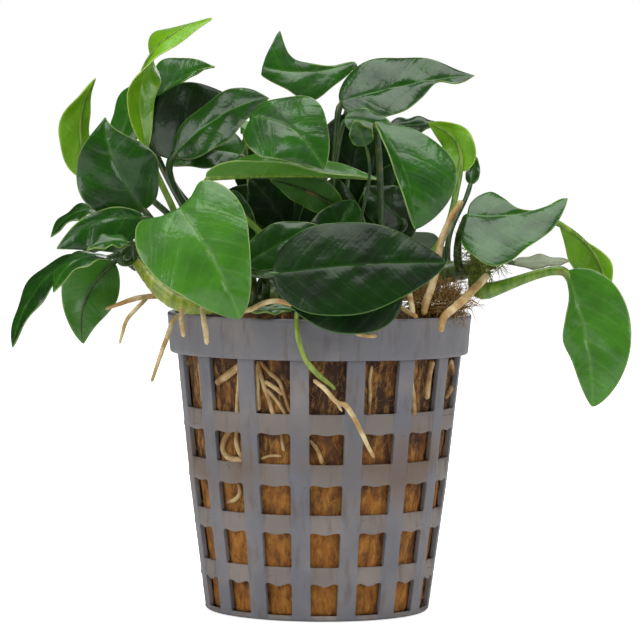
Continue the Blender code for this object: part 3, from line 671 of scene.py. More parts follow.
@dataclass(frozen=True)
class Leaf:
    """One leaf: where its stalk starts, where its blade runs and how the blade is shaped.

    Lengths are millimetres and angles degrees. ``right`` and ``left`` are the half widths
    either side of the midrib, seen on the upper face with the tip pointing away.
    ``right_edge`` and ``left_edge`` scale them at even steps along the blade, ``horns`` run
    the margins on past the tip, and ``flare`` lifts them there, right first.
    """

    name: str
    tone: Tone
    site: Place
    neck: Place
    tip: Place
    bow: Place = (0.0, 0.0, 0.0)
    face: Place = (0.0, -0.8, 0.6)
    right: float = 5.0
    left: float = 5.0
    rise: Place | None = None
    reach: Place | None = None
    twist: float = 0.0
    fold: tuple[float, float] = (8.0, 8.0)
    curl: tuple[float, float] = (-16.0, -16.0)
    hook: Place = (0.0, 0.0, 0.0)
    base: float = 0.55
    point: float = 0.9
    lobe: float = 0.0
    stalk: float = 0.6
    foot: float = 0.25
    wave: float = 0.35
    waves: float = 2.2
    right_edge: tuple[float, ...] = (1.0, 1.0)
    left_edge: tuple[float, ...] = (1.0, 1.0)
    horns: tuple[float, float] = (0.0, 0.0)
    flare: tuple[float, float] = (0.0, 0.0)

    def midrib(self, t: np.ndarray) -> np.ndarray:
        """Return the midrib's places at t, from the neck (0) to the tip (1)."""
        t = np.asarray(t, float)[..., None]
        neck, tip = np.array(self.neck), np.array(self.tip)
        ahead = np.maximum(t, 0.0)
        curve = (neck + (tip - neck) * ahead + np.array(self.bow) * (4.0 * ahead * (1.0 - ahead))
                 + np.array(self.hook) * ahead ** 4)
        slope = tip - neck + 4.0 * np.array(self.bow)
        return curve + slope * np.minimum(t, 0.0)

    def frames(self, t: np.ndarray) -> tuple[np.ndarray, np.ndarray, np.ndarray]:
        """Return the blade's directions along, up and to its right at t."""
        t = np.clip(t, 0.0, 0.99)
        along = unit(self.midrib(t + 0.01) - self.midrib(t))
        face = np.array(self.face)
        up = unit(face - along * (along @ face)[..., None])
        turn = np.radians(self.twist) * smoothstep(0.25, 0.75, t)[..., None]
        up = up * np.cos(turn) + np.cross(along, up) * np.sin(turn)
        return along, up, np.cross(along, up)

    def outline(self, m: np.ndarray) -> np.ndarray:
        """Return the outline's share of its widest half width at m."""
        peak = self.base / (self.base + self.point)
        top = peak ** self.base * (1.0 - peak) ** self.point
        return m ** self.base * (1.0 - m) ** self.point / top

    def surface(self, m: np.ndarray, u: np.ndarray) -> dict[str, np.ndarray]:
        """Return the blade's middle surface on a grid.

        Args:
            m: Shares along the blade, one for each row and column.
            u: Shares across it, from -1 at the left margin to 1 at the right.

        Returns:
            The places, and the distances in millimetres along, across and from the margin.
        """
        length = float(np.linalg.norm(np.array(self.tip) - np.array(self.neck)))
        share = np.abs(u)
        bump = (m / 0.07) * np.exp(1.0 - m / 0.07)
        sign = np.where(u > 0.0, 1.0, -1.0)
        horn = np.where(u > 0.0, self.horns[0], self.horns[1]) * share ** 2 * m ** 5
        t = m - self.lobe / length * bump * share ** 2 + horn / length
        _, up, side = self.frames(t)
        widest = np.where(u > 0.0, self.right * smooth_through(self.right_edge, m),
                          self.left * smooth_through(self.left_edge, m))
        width = widest * self.outline(m)
        reach = width * share
        angle = np.radians(np.where(u > 0.0, self.fold[0], self.fold[1]))
        bend = np.radians(np.where(u > 0.0, self.curl[0], self.curl[1])) * share
        bend = np.where(np.abs(bend) < 1e-3, 1e-3, bend)
        flat = reach * (np.sin(angle + bend) - np.sin(angle)) / bend
        lift = reach * (np.cos(angle) - np.cos(angle + bend)) / bend
        seed = sum(map(ord, self.name)) % 97
        lift = lift + np.where(u > 0.0, self.flare[0], self.flare[1]) * share ** 2 * m ** 4
        wave = self.wave * share ** 2.2 * np.sin(np.pi * m) ** 0.6
        lift = lift + wave * np.sin(TURN * (self.waves * m + 0.13 * seed + 0.37 * sign))
        places = self.midrib(t) + side * (sign * flat)[..., None] + up * lift[..., None]
        return {"places": places, "along": m * length, "across": sign * reach,
                "edge": width * (1.0 - share), "seed": np.array(seed)}

    def blade(self) -> tuple[np.ndarray, list, dict[str, np.ndarray]]:
        """Return the blade's vertices, faces and stored values."""
        rows = 0.5 - 0.5 * np.cos(np.linspace(0.0, np.pi, BLADE_ROWS))
        rows = 0.45 * rows + 0.55 * np.linspace(0.0, 1.0, BLADE_ROWS)
        columns = np.array([-share for share in reversed(ACROSS[1:])] + list(ACROSS))
        m, u = np.meshgrid(rows, columns, indexing="ij")
        grid = self.surface(m, u)
        places, along, across = grid["places"], grid["along"], grid["across"]
        normals = unit(np.cross(np.gradient(places, axis=1), np.gradient(places, axis=0)))
        normals[0], normals[-1] = normals[1], normals[-2]
        seed = float(grid["seed"])
        ripple = (np.sin(TURN * (along / 9.0 + 0.07 * seed)) * np.sin(TURN * across / 7.5)
                  + 0.5 * np.sin(TURN * (along / 5.3 + across / 4.3 + 0.11 * seed)))
        away = np.abs(across)
        vein_row = along - 0.6 * away - 0.05 * away ** 2
        calm = (1.0 - np.abs(u) ** 2) * np.sin(np.pi * m)
        quilt = -QUILT * np.cos(TURN * vein_row / VEIN_SPACING) * calm
        groove = -RIB_GROOVE * np.exp(-(away / 0.4) ** 2) * np.sin(np.pi * m) ** 0.5
        middle = places + normals * (RIPPLE * ripple * calm + quilt)[..., None]
        ends = np.sqrt(np.clip(np.minimum(m, 1.0 - m) / 0.02, 0.0, 1.0))
        half = HALF_THICK * np.sqrt(np.clip(1.0 - np.abs(u) ** 10, 0.0, 1.0)) * ends
        upper = middle + normals * (half + groove)[..., None]
        lower = middle - normals * half[..., None]
        return self.close_blade(upper, lower, grid)

    def close_blade(self, upper: np.ndarray, lower: np.ndarray,
                    grid: dict[str, np.ndarray]) -> tuple[np.ndarray, list, dict[str, np.ndarray]]:
        """Join the upper and the lower face into one closed skin.

        Args:
            upper: Places of the upper face by row and column, left margin first.
            lower: Places of the lower face, in the same order.
            grid: Distances stored at each place.

        Returns:
            Vertices, faces and values for the vertices.
        """
        inner = slice(1, -1)
        rings = np.concatenate([upper[inner, ::-1], lower[inner, inner]], axis=1)
        count, ring = rings.shape[:2]
        points = np.vstack([rings.reshape(-1, 3), upper[:1, 0], upper[-1:, 0]])
        start, end = count * ring, count * ring + 1
        faces = []
        for step in range(ring):
            after = (step + 1) % ring
            faces.append((start, step, after))
            for row in range(count - 1):
                low, high = row * ring, (row + 1) * ring
                faces.append((low + step, high + step, high + after, low + after))
            last = (count - 1) * ring
            faces.append((last + step, end, last + after))
        values = {}
        for name, key in (("along_mm", "along"), ("across_mm", "across"), ("edge_mm", "edge")):
            wide = grid[key]
            flat = np.concatenate([wide[inner, ::-1], wide[inner, inner]], axis=1).ravel()
            values[name] = np.append(flat, (wide[0, 0], wide[-1, 0]))
        sides = np.concatenate([np.zeros(upper.shape[1]), np.ones(upper.shape[1] - 2)])
        sides[0] = sides[upper.shape[1] - 1] = 0.5
        values["under"] = np.append(np.tile(sides, count), (0.5, 0.5))
        return points, faces, values

    def stalk_path(self) -> tuple[np.ndarray, np.ndarray]:
        """Return the path and the radii of the stalk and of the rib that it runs into."""
        site, neck = np.array(self.site), np.array(self.neck)
        span = float(np.linalg.norm(neck - site))
        rise = np.array(self.rise) if self.rise else np.array((0.0, 0.0, 0.35 * span))
        along = self.frames(np.array(0.0))[0]
        reach = np.array(self.reach) if self.reach else along * (-0.3 * span)
        first, second = site + rise, neck + reach
        t = np.linspace(0.0, 1.0, 18)[:, None]
        back = 1.0 - t
        stalk = (site * back ** 3 + first * (3.0 * back ** 2 * t) + second * (3.0 * back * t ** 2)
                 + neck * t ** 3)
        spread = self.foot * (1.0 - t[:, 0]) ** 3
        swollen = 1.0 + 0.16 * np.exp(-((t[:, 0] - 0.93) / 0.08) ** 2) + spread
        stalk_radii = self.stalk * (0.86 + 0.08 * (1.0 - t[:, 0])) * swollen
        m = np.linspace(0.03, 0.95, 26)
        rib_radii = 0.1 + (0.8 * self.stalk - 0.1) * (1.0 - m) ** 1.1
        _, up, _ = self.frames(m)
        rib = self.midrib(m) - up * (rib_radii - 0.02)[:, None]
        path = np.vstack([stalk[:1], stalk, rib])
        radii = np.concatenate([stalk_radii[:1], stalk_radii, rib_radii])
        for _ in range(3):
            window = slice(15, 25)
            middle = (path[14:24] + path[16:26]) / 2.0
            path[window] = 0.5 * path[window] + 0.5 * middle
            radii[window] = 0.5 * radii[window] + 0.25 * (radii[14:24] + radii[16:26])
        base = stalk_origin(site)
        bend = site - unit(rise) * (0.5 * float(np.linalg.norm(site - base)))
        t = np.linspace(0.0, 1.0, 7)[:-1, None]
        buried = base * (1.0 - t) ** 2 + bend * (2.0 * t * (1.0 - t)) + site * t ** 2
        path = np.vstack([buried, path[1:]])
        return path, np.concatenate([np.full(len(buried), radii[0]), radii[1:]])

    def grow(self, blades: dict[Tone, bpy.types.Material],
             stalks: dict[Tone, bpy.types.Material]) -> bpy.types.Object:
        """Build the leaf as one object with a blade and a stalk finish.

        Args:
            blades: The blade's material for each tone.
            stalks: The stalk's material for each tone.

        Returns:
            The leaf's object.
        """
        blade_points, blade_faces, values = self.blade()
        path, radii = self.stalk_path()
        stalk_points, stalk_faces = sweep(path, radii, STALK_SIDES)
        shift = len(blade_points)
        stalk_faces = [tuple(index + shift for index in face) for face in stalk_faces]
        leaf = mesh_object(self.name + "_blade", np.vstack([blade_points, stalk_points]),
                           blade_faces + stalk_faces)
        for name, numbers in values.items():
            fill = np.full(len(stalk_points), 1.0 if name == "under" else 3.0)
            store_values(leaf.data, name, np.append(numbers, fill))
        leaf.data.materials.append(blades[self.tone])
        leaf.data.materials.append(stalks[self.tone])
        kinds = np.append(np.zeros(len(blade_faces), int), np.ones(len(stalk_faces), int))
        leaf.data.polygons.foreach_set("material_index", kinds)
        leaf.data.update()
        return leaf


LEFT_SHOOT = (
    Leaf("young_curled_leaf", Tone.LIME, (-21.5, -3.2, 56.0), (-28.4, -4.0, 75.6),
         (-17.9, -1.0, 97.0), bow=(-5.2, -1.0, 3.2), face=(0.75, -0.75, 0.1), right=3.6, left=4.8,
         twist=100.0, fold=(12.0, 12.0), curl=(12.0, 12.0), base=0.6, point=0.6,
         right_edge=(1.0, 1.0, 1.0, 1.5, 2.7, 3.1, 2.4),
         left_edge=(1.0, 1.0, 1.0, 0.6, 0.5, 0.6, 0.7)),
    Leaf("grey_left_leaf", Tone.GREEN, (-19.5, 0.5, 56.0), (-33.2, 4.5, 75.0), (-26.6, 9.0, 86.8),
         bow=(-1.4, 0.0, 1.0), face=(-0.5, -0.75, 0.4), right=4.0, left=3.6,
         left_edge=(0.8, 0.85, 1.0, 1.35, 1.5, 1.2)),
    Leaf("left_back_leaf", Tone.GREEN, (-17.0, 3.5, 56.0), (-29.0, 11.5, 82.2),
         (-17.8, 12.0, 89.2), bow=(0.4, 0.0, 1.8), face=(-0.4, -0.85, 0.4), right=1.3, left=3.9,
         rise=(-5.0, 2.0, 9.0), reach=(-2.0, -0.5, -4.0),
         right_edge=(1.0, 1.0, 0.9, 0.7, 0.5, 0.35), left_edge=(0.8, 1.1, 1.35, 1.1, 0.7, 0.35)),
    Leaf("lime_left_leaf", Tone.LIME, (-24.0, 1.5, 57.0), (-38.2, 3.0, 70.6), (-37.8, 1.0, 86.8),
         bow=(-1.8, 0.0, 0.6), face=(-0.55, 0.8, 0.2), right=4.0, left=2.0, hook=(0.8, -0.8, 0.3),
         right_edge=(1.0, 1.0, 1.0, 1.0, 0.9, 0.55, 0.4)),
    Leaf("dark_left_leaf", Tone.DARK, (-25.0, -6.5, 58.5), (-28.4, -11.5, 65.6),
         (-34.7, -12.5, 80.6), bow=(-1.8, -1.0, 0.5), face=(-0.1, -1.0, 0.3), right=6.6, left=7.2,
         base=0.55, point=1.15, lobe=0.6, wave=0.6,
         right_edge=(0.8, 0.9, 1.0, 1.0, 1.0, 0.85, 0.7),
         left_edge=(0.8, 0.9, 1.0, 1.0, 1.0, 0.85, 0.7)),
    Leaf("grey_strip_leaf", Tone.DARK, (-29.5, -2.6, 59.4), (-35.4, -2.6, 65.4),
         (-44.0, -3.6, 60.9), bow=(-0.5, 0.0, 1.6), face=(-0.3, -0.35, 0.9), right=3.0, left=3.0),
    Leaf("left_green_leaf", Tone.DARK, (-27.5, -9.5, 60.0), (-28.2, -14.5, 64.4),
         (-42.2, -15.5, 59.4), bow=(-0.4, -0.5, 2.0), face=(-0.15, -1.0, 0.15), right=1.7,
         left=5.6),
    Leaf("small_curled_leaf", Tone.GREEN, (-30.0, -14.6, 59.6), (-30.6, -19.4, 60.6),
         (-37.0, -21.0, 59.4), bow=(0.0, 0.0, 0.9), face=(0.0, -0.5, 0.85), right=1.9, left=2.0,
         stalk=0.4),
    Leaf("long_drooping_leaf", Tone.DARK, (-31.5, -5.5, 58.4), (-39.5, -5.0, 57.9),
         (-49.8, -8.0, 43.0), bow=(-1.6, 0.0, 1.6), face=(-0.75, -0.5, 0.5), right=4.1, left=4.1),
    Leaf("pale_edge_leaf", Tone.GREEN, (-32.2, -15.4, 58.4), (-33.8, -17.0, 58.2),
         (-42.3, -20.5, 52.6), bow=(-1.0, -0.5, 2.0), face=(-0.4, -0.35, 0.85), right=3.7,
         left=3.7, stalk=0.5),
    Leaf("hanging_left_leaf", Tone.DARK, (-31.2, -9.6, 59.6), (-33.2, -11.0, 57.2),
         (-38.0, -12.0, 44.0), bow=(-2.2, -0.5, 0.4), face=(0.15, 0.95, 0.1), right=4.7, left=4.7,
         rise=(-0.7, -0.4, -0.6), reach=(0.7, 0.4, 0.8), stalk=0.5,
         left_edge=(1.0, 1.0, 1.0, 0.85, 0.7, 0.8)),
)

MIDDLE_SHOOT = (
    Leaf("heart_leaf", Tone.FRESH, (-16.5, -10.5, 54.5), (-22.2, -25.5, 66.4),
         (-12.4, -29.5, 49.2), bow=(0.5, -2.2, 0.6), face=(-0.1, -0.9, 0.35), right=10.0, left=8.2,
         reach=(0.6, 4.5, -1.0), fold=(6.0, 6.0), base=0.28, point=0.75, lobe=3.0,
         right_edge=(0.8, 0.95, 0.95, 0.95, 0.92, 0.95, 1.0),
         left_edge=(0.8, 1.02, 1.0, 0.9, 0.86, 0.9, 1.0)),
    Leaf("front_dark_leaf", Tone.DEEP, (-10.5, -15.0, 52.0), (-7.4, -30.0, 56.2),
         (19.8, -30.0, 58.2), bow=(0.0, -1.0, 0.6), face=(-0.02, -0.9, 0.4), right=8.2, left=7.8,
         fold=(5.0, 5.0), base=0.5, point=0.8),
    Leaf("under_dark_leaf", Tone.DEEP, (9.5, -15.0, 51.5), (13.0, -25.4, 53.4),
         (-6.5, -26.4, 53.2), bow=(0.0, -1.2, -0.9), face=(0.0, -0.95, 0.3), right=3.0, left=6.0),
    Leaf("rim_leaf", Tone.GREEN, (-2.6, -19.0, 50.4), (-4.2, -22.5, 50.4), (-10.9, -23.4, 49.9),
         bow=(0.0, 0.0, 0.3), face=(0.0, -0.6, 0.8), right=1.2, left=1.2, stalk=0.4),
    Leaf("round_dark_leaf", Tone.DEEP, (-15.5, 1.0, 56.5), (-25.0, 2.5, 73.8), (-14.4, 3.0, 83.8),
         bow=(-1.6, 0.0, 1.2), face=(-0.45, -0.85, 0.3), right=5.2, left=9.2, base=0.45, wave=0.6),
    Leaf("ridge_leaf", Tone.DARK, (-18.0, -2.0, 57.0), (-24.0, -3.0, 74.6), (-8.4, -8.0, 83.9),
         bow=(0.0, 0.0, 1.8), face=(-0.25, -0.9, 0.5), right=4.8, left=3.6,
         left_edge=(1.0, 1.0, 1.0, 1.1, 1.3, 1.4, 1.0)),
    Leaf("left_inner_leaf", Tone.GREEN, (-12.0, 2.5, 56.5), (-12.8, 3.0, 74.4), (-24.4, 1.0, 72.6),
         bow=(0.0, 0.0, 1.6), face=(0.0, -0.85, 0.5), right=4.6, left=3.4),
    Leaf("bright_edge_leaf", Tone.FRESH, (-11.0, -1.6, 57.0), (-12.8, -1.4, 80.0),
         (-12.4, -3.4, 75.6), bow=(1.2, -0.6, 0.0), face=(0.3, -0.9, 0.1), right=1.6, left=1.6,
         reach=(0.0, 3.0, 0.2), stalk=0.35),
    Leaf("glossy_middle_leaf", Tone.GREEN, (-8.0, 1.8, 57.0), (-11.2, -11.5, 80.9),
         (0.6, -17.0, 72.4), bow=(1.2, -1.4, 1.8), face=(-0.15, -0.85, 0.5), right=6.6, left=5.8,
         rise=(0.0, 0.5, 10.0), reach=(0.0, 9.5, 0.5), base=0.45, lobe=0.6,
         left_edge=(0.6, 0.8, 1.05, 1.15, 1.05, 1.0, 1.0)),
    Leaf("long_cupped_leaf", Tone.FRESH, (-6.5, -7.6, 56.0), (-18.6, -9.5, 71.2),
         (9.8, -9.2, 70.8), bow=(0.0, -1.6, 0.6), face=(0.0, -0.55, 0.85), right=2.4, left=5.5,
         reach=(-1.0, 1.5, -3.0), fold=(100.0, 12.0),
         right_edge=(1.3, 1.4, 1.1, 0.75, 0.5, 0.35, 0.2)),
    Leaf("top_middle_leaf", Tone.GREEN, (-2.0, 3.5, 56.5), (5.6, 11.0, 90.2), (-9.9, 9.5, 89.2),
         bow=(0.0, 0.0, -1.2), face=(0.1, -0.95, 0.35), right=4.4, left=6.4,
         reach=(2.0, 0.5, -3.5), base=0.5, point=0.08, stalk=0.55,
         right_edge=(0.3, 0.22, 0.45, 0.75, 1.8), left_edge=(0.6, 0.75, 0.95, 0.5, 0.25),
         horns=(-1.8, 0.0)),
    Leaf("top_right_leaf", Tone.DARK, (2.0, 0.8, 56.5), (3.0, 4.0, 83.4), (25.3, 3.0, 88.0),
         bow=(0.6, 0.0, 0.8), face=(-0.05, -0.8, 0.6), right=5.8, left=6.7,
         reach=(-0.6, 1.0, -3.0), point=1.2, wave=0.45,
         right_edge=(1.0, 0.9, 0.98, 0.95, 0.6, 0.2, 1.0, 1.6)),
    Leaf("small_green_leaf", Tone.GREEN, (1.0, -2.4, 56.8), (3.8, -1.0, 80.6), (12.4, -3.0, 78.4),
         bow=(0.0, 0.0, 0.6), face=(0.0, -0.85, 0.5), right=2.6, left=2.4, reach=(-0.8, 0.5, -2.0),
         stalk=0.5),
    Leaf("dark_inner_left_leaf", Tone.DEEP, (-4.6, -3.4, 56.8), (-5.6, -2.0, 63.0),
         (-11.6, -2.6, 71.0), bow=(0.0, -1.0, 0.6), face=(-0.1, -0.9, 0.4), right=3.6, left=4.0),
    Leaf("olive_leaf", Tone.DARK, (3.5, -6.5, 56.5), (3.4, -6.6, 66.0), (-8.2, -7.0, 70.6),
         bow=(0.0, 0.0, 0.8), face=(0.2, 0.9, 0.3), right=3.0, left=3.0),
    Leaf("dark_inner_right_leaf", Tone.DEEP, (7.5, -3.6, 57.0), (13.6, -4.6, 64.2),
         (7.2, -5.0, 69.6), bow=(0.0, -1.0, 0.0), face=(0.1, -0.9, 0.4), right=4.0, left=4.0),
    Leaf("veined_inner_leaf", Tone.DARK, (-8.6, -11.0, 53.6), (-11.6, -18.0, 57.4),
         (0.2, -17.5, 63.4), bow=(0.0, -0.6, 0.6), face=(0.0, -0.9, 0.4), right=3.6, left=3.6),
)

RIGHT_SHOOT = (
    Leaf("right_middle_leaf", Tone.GREEN, (10.0, -7.0, 56.5), (8.6, -16.5, 80.2),
         (15.0, -22.5, 63.2), bow=(1.5, -2.6, 0.6), face=(0.1, -0.9, 0.5), right=2.2, left=8.4,
         reach=(0.8, 3.5, -1.6), fold=(40.0, 8.0), base=0.85, point=0.8,
         left_edge=(0.8, 0.85, 0.95, 1.0, 1.0, 1.0)),
    Leaf("bright_fold_leaf", Tone.GREEN, (5.4, -10.2, 56.5), (7.2, -14.4, 76.4),
         (5.4, -16.0, 80.4), face=(-0.3, -0.8, 0.2), right=2.0, left=2.0, stalk=0.3),
    Leaf("lime_right_leaf", Tone.LIME, (17.5, -3.0, 57.6), (23.0, 2.0, 72.2), (17.4, 4.0, 79.4),
         bow=(2.2, 0.0, 1.4), face=(0.3, 0.9, 0.3), right=3.6, left=2.8, rise=(4.5, 1.0, 5.0),
         hook=(0.2, 0.0, 0.8)),
    Leaf("dark_back_right_leaf", Tone.DARK, (12.0, 0.8, 57.4), (11.2, 9.0, 79.4),
         (19.6, 9.0, 80.2), face=(0.0, -0.6, 0.8), right=2.8, left=2.4, stalk=0.5),
    Leaf("small_grey_leaf", Tone.DARK, (21.0, 1.2, 58.8), (25.0, 9.0, 70.0), (26.0, 10.0, 74.6),
         face=(0.0, -0.9, 0.3), right=1.2, left=1.2, stalk=0.45),
    Leaf("right_grey_leaf", Tone.GREEN, (22.4, -6.2, 59.2), (23.6, -13.0, 65.4),
         (39.8, -13.0, 68.2), bow=(0.0, -0.8, -1.2), face=(0.0, -0.78, 0.66), right=9.4, left=3.4,
         reach=(-0.6, 2.6, -2.0), base=0.42, lobe=0.6,
         right_edge=(1.0, 1.0, 1.1, 1.0, 0.85, 0.85, 0.85, 0.8, 0.8),
         left_edge=(1.2, 1.5, 1.6, 1.15, 0.4, 0.12, 0.05, 0.3, 1.0)),
    Leaf("right_lime_leaf", Tone.LIME, (25.2, -2.8, 59.4), (39.0, -3.0, 64.0), (47.0, -4.0, 51.0),
         bow=(2.0, 0.0, 1.4), face=(0.3, 0.9, 0.2), right=2.6, left=4.6, base=0.9,
         right_edge=(0.05, 0.05, 0.1, 0.5, 0.8, 0.7, 0.5)),
    Leaf("big_drooping_leaf", Tone.FRESH, (27.4, -7.4, 53.0), (40.0, -9.0, 56.4),
         (44.4, -10.5, 34.4), bow=(1.0, -0.6, 0.4), face=(-0.05, -1.0, 0.1), right=3.4, left=7.6,
         rise=(4.0, 0.0, 1.0), reach=(-3.4, 0.0, 0.6), base=0.5, point=0.7, stalk=0.85, foot=0.75,
         right_edge=(0.3, 0.35, 0.8, 1.15, 1.0, 1.0, 1.0)),
    Leaf("pale_torn_leaf", Tone.PALE, (27.6, 1.0, 58.0), (32.0, 3.0, 57.2), (41.4, 3.0, 57.6),
         face=(0.0, -0.6, 0.8), right=1.8, left=1.8, stalk=0.45),
)

BACK_SHOOT = (
    Leaf("back_low_left_leaf", Tone.DARK, (-8.5, 13.8, 55.4), (-12.0, 20.0, 62.5),
         (-22.0, 31.0, 55.0), bow=(0.0, 0.0, 1.6), face=(-0.3, 0.5, 0.8), right=7.0, left=7.0,
         base=0.45),
    Leaf("back_middle_leaf", Tone.GREEN, (-3.5, 14.2, 55.6), (0.0, 24.0, 66.0), (2.0, 37.0, 52.0),
         bow=(0.0, 1.5, 1.5), face=(0.0, 0.8, 0.6), right=7.4, left=7.4, reach=(0.0, -3.0, -1.5),
         base=0.42, lobe=1.2),
    Leaf("back_low_right_leaf", Tone.DEEP, (5.0, 14.2, 56.2), (12.0, 21.0, 61.5),
         (20.5, 32.0, 53.0), bow=(0.0, 1.0, 1.6), face=(0.3, 0.6, 0.7), right=6.4, left=6.4,
         base=0.45),
    Leaf("back_high_leaf", Tone.DARK, (-1.2, 8.8, 56.4), (-3.0, 14.0, 72.0), (-7.0, 27.0, 75.0),
         bow=(0.0, 0.0, 1.6), face=(-0.1, -0.1, 1.0), right=6.2, left=6.2, base=0.45),
    Leaf("back_right_leaf", Tone.FRESH, (7.5, 9.0, 56.8), (10.0, 14.0, 70.0), (19.5, 24.0, 71.0),
         bow=(0.0, 0.0, 1.6), face=(0.2, 0.2, 0.95), right=5.8, left=5.8, base=0.45),
)


CROWN_LEAVES = (
    Leaf("crown_leaf_left", Tone.DEEP, (-9.0, 3.0, 56.5), (-9.0, 5.0, 66.0), (-6.0, 6.5, 80.5),
         face=(0.1, -0.95, 0.2), right=7.0, left=7.0, base=0.5, point=0.6),
    Leaf("crown_leaf_right", Tone.DEEP, (6.5, 0.5, 56.5), (5.5, 3.5, 62.0), (9.5, 5.0, 79.5),
         face=(-0.15, -0.95, 0.2), right=5.6, left=5.6, base=0.4, point=0.6),
    Leaf("crown_leaf_low_middle", Tone.DEEP, (0.5, -1.0, 56.5), (1.0, 0.0, 58.8),
         (2.5, 1.0, 71.0), face=(0.15, -0.95, 0.25), right=5.2, left=5.2, base=0.4, point=0.7),
    Leaf("crown_leaf_middle", Tone.DEEP, (3.0, 2.5, 56.5), (4.5, 4.5, 70.5), (6.5, 6.0, 82.0),
         face=(-0.1, -0.95, 0.2), right=6.4, left=6.6, base=0.4, point=0.6),
    Leaf("crown_leaf_low_left", Tone.DEEP, (-3.5, 1.0, 56.0), (-2.5, 2.0, 60.0),
         (-15.5, 2.5, 68.5), face=(0.0, -0.95, 0.3), right=5.6, left=5.6, base=0.4, point=0.6),
    Leaf("crown_leaf_low_right", Tone.DEEP, (8.5, 1.0, 56.0), (9.5, 2.0, 59.5), (13.0, 3.0, 73.5),
         face=(0.1, -0.95, 0.2), right=5.6, left=5.0, base=0.4, point=0.6),
    Leaf("crown_leaf_front", Tone.DARK, (1.0, -6.0, 54.0), (0.5, -9.0, 58.0), (5.5, -8.5, 67.5),
         face=(0.1, -0.9, 0.3), right=5.2, left=4.6, base=0.4, point=0.7),
    Leaf("crown_leaf_sheath", Tone.DARK, (-12.5, -5.0, 54.0), (-14.5, -7.0, 58.5),
         (-14.0, -7.5, 69.0), face=(0.1, -0.9, 0.3), right=4.0, left=4.6, base=0.4, point=0.7),
)


@dataclass
class Shoot:
    """The leaves that one stretch of the creeping stem carries."""

    name: str
    leaves: tuple[Leaf, ...]

    def build(self, blades: dict[Tone, bpy.types.Material],
              stalks: dict[Tone, bpy.types.Material]) -> None:
        """Build every leaf of the shoot and hand it over."""
        for leaf in self.leaves:
            piece = leaf.grow(blades, stalks)
            slot = "leaf_lime" if leaf.tone is Tone.LIME else "leaf_green"
            hand_over(piece, slot, *([leaf.name] if leaf.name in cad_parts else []))
        LOG.info("%s: %d leaves", self.name, len(self.leaves))


# ---------------------------------------------------------------- trees of geometry nodes
def tree_with_inputs(name: str, inputs: dict[str, str]) -> tuple[bpy.types.NodeTree, bpy.types.Node,
                                                                 bpy.types.Node]:
    """Start a Geometry Nodes tree.

    Args:
        name: The tree's name.
        inputs: Socket types by input name, after the geometry.

    Returns:
        The tree, its input node and its output node.
    """
    tree = bpy.data.node_groups.new(name, "GeometryNodeTree")
    tree.interface.new_socket("Geometry", in_out="INPUT", socket_type="NodeSocketGeometry")
    tree.interface.new_socket("Geometry", in_out="OUTPUT", socket_type="NodeSocketGeometry")
    for label, kind in inputs.items():
        tree.interface.new_socket(label, in_out="INPUT", socket_type=kind)
    return tree, add_node(tree, "NodeGroupInput"), add_node(tree, "NodeGroupOutput")


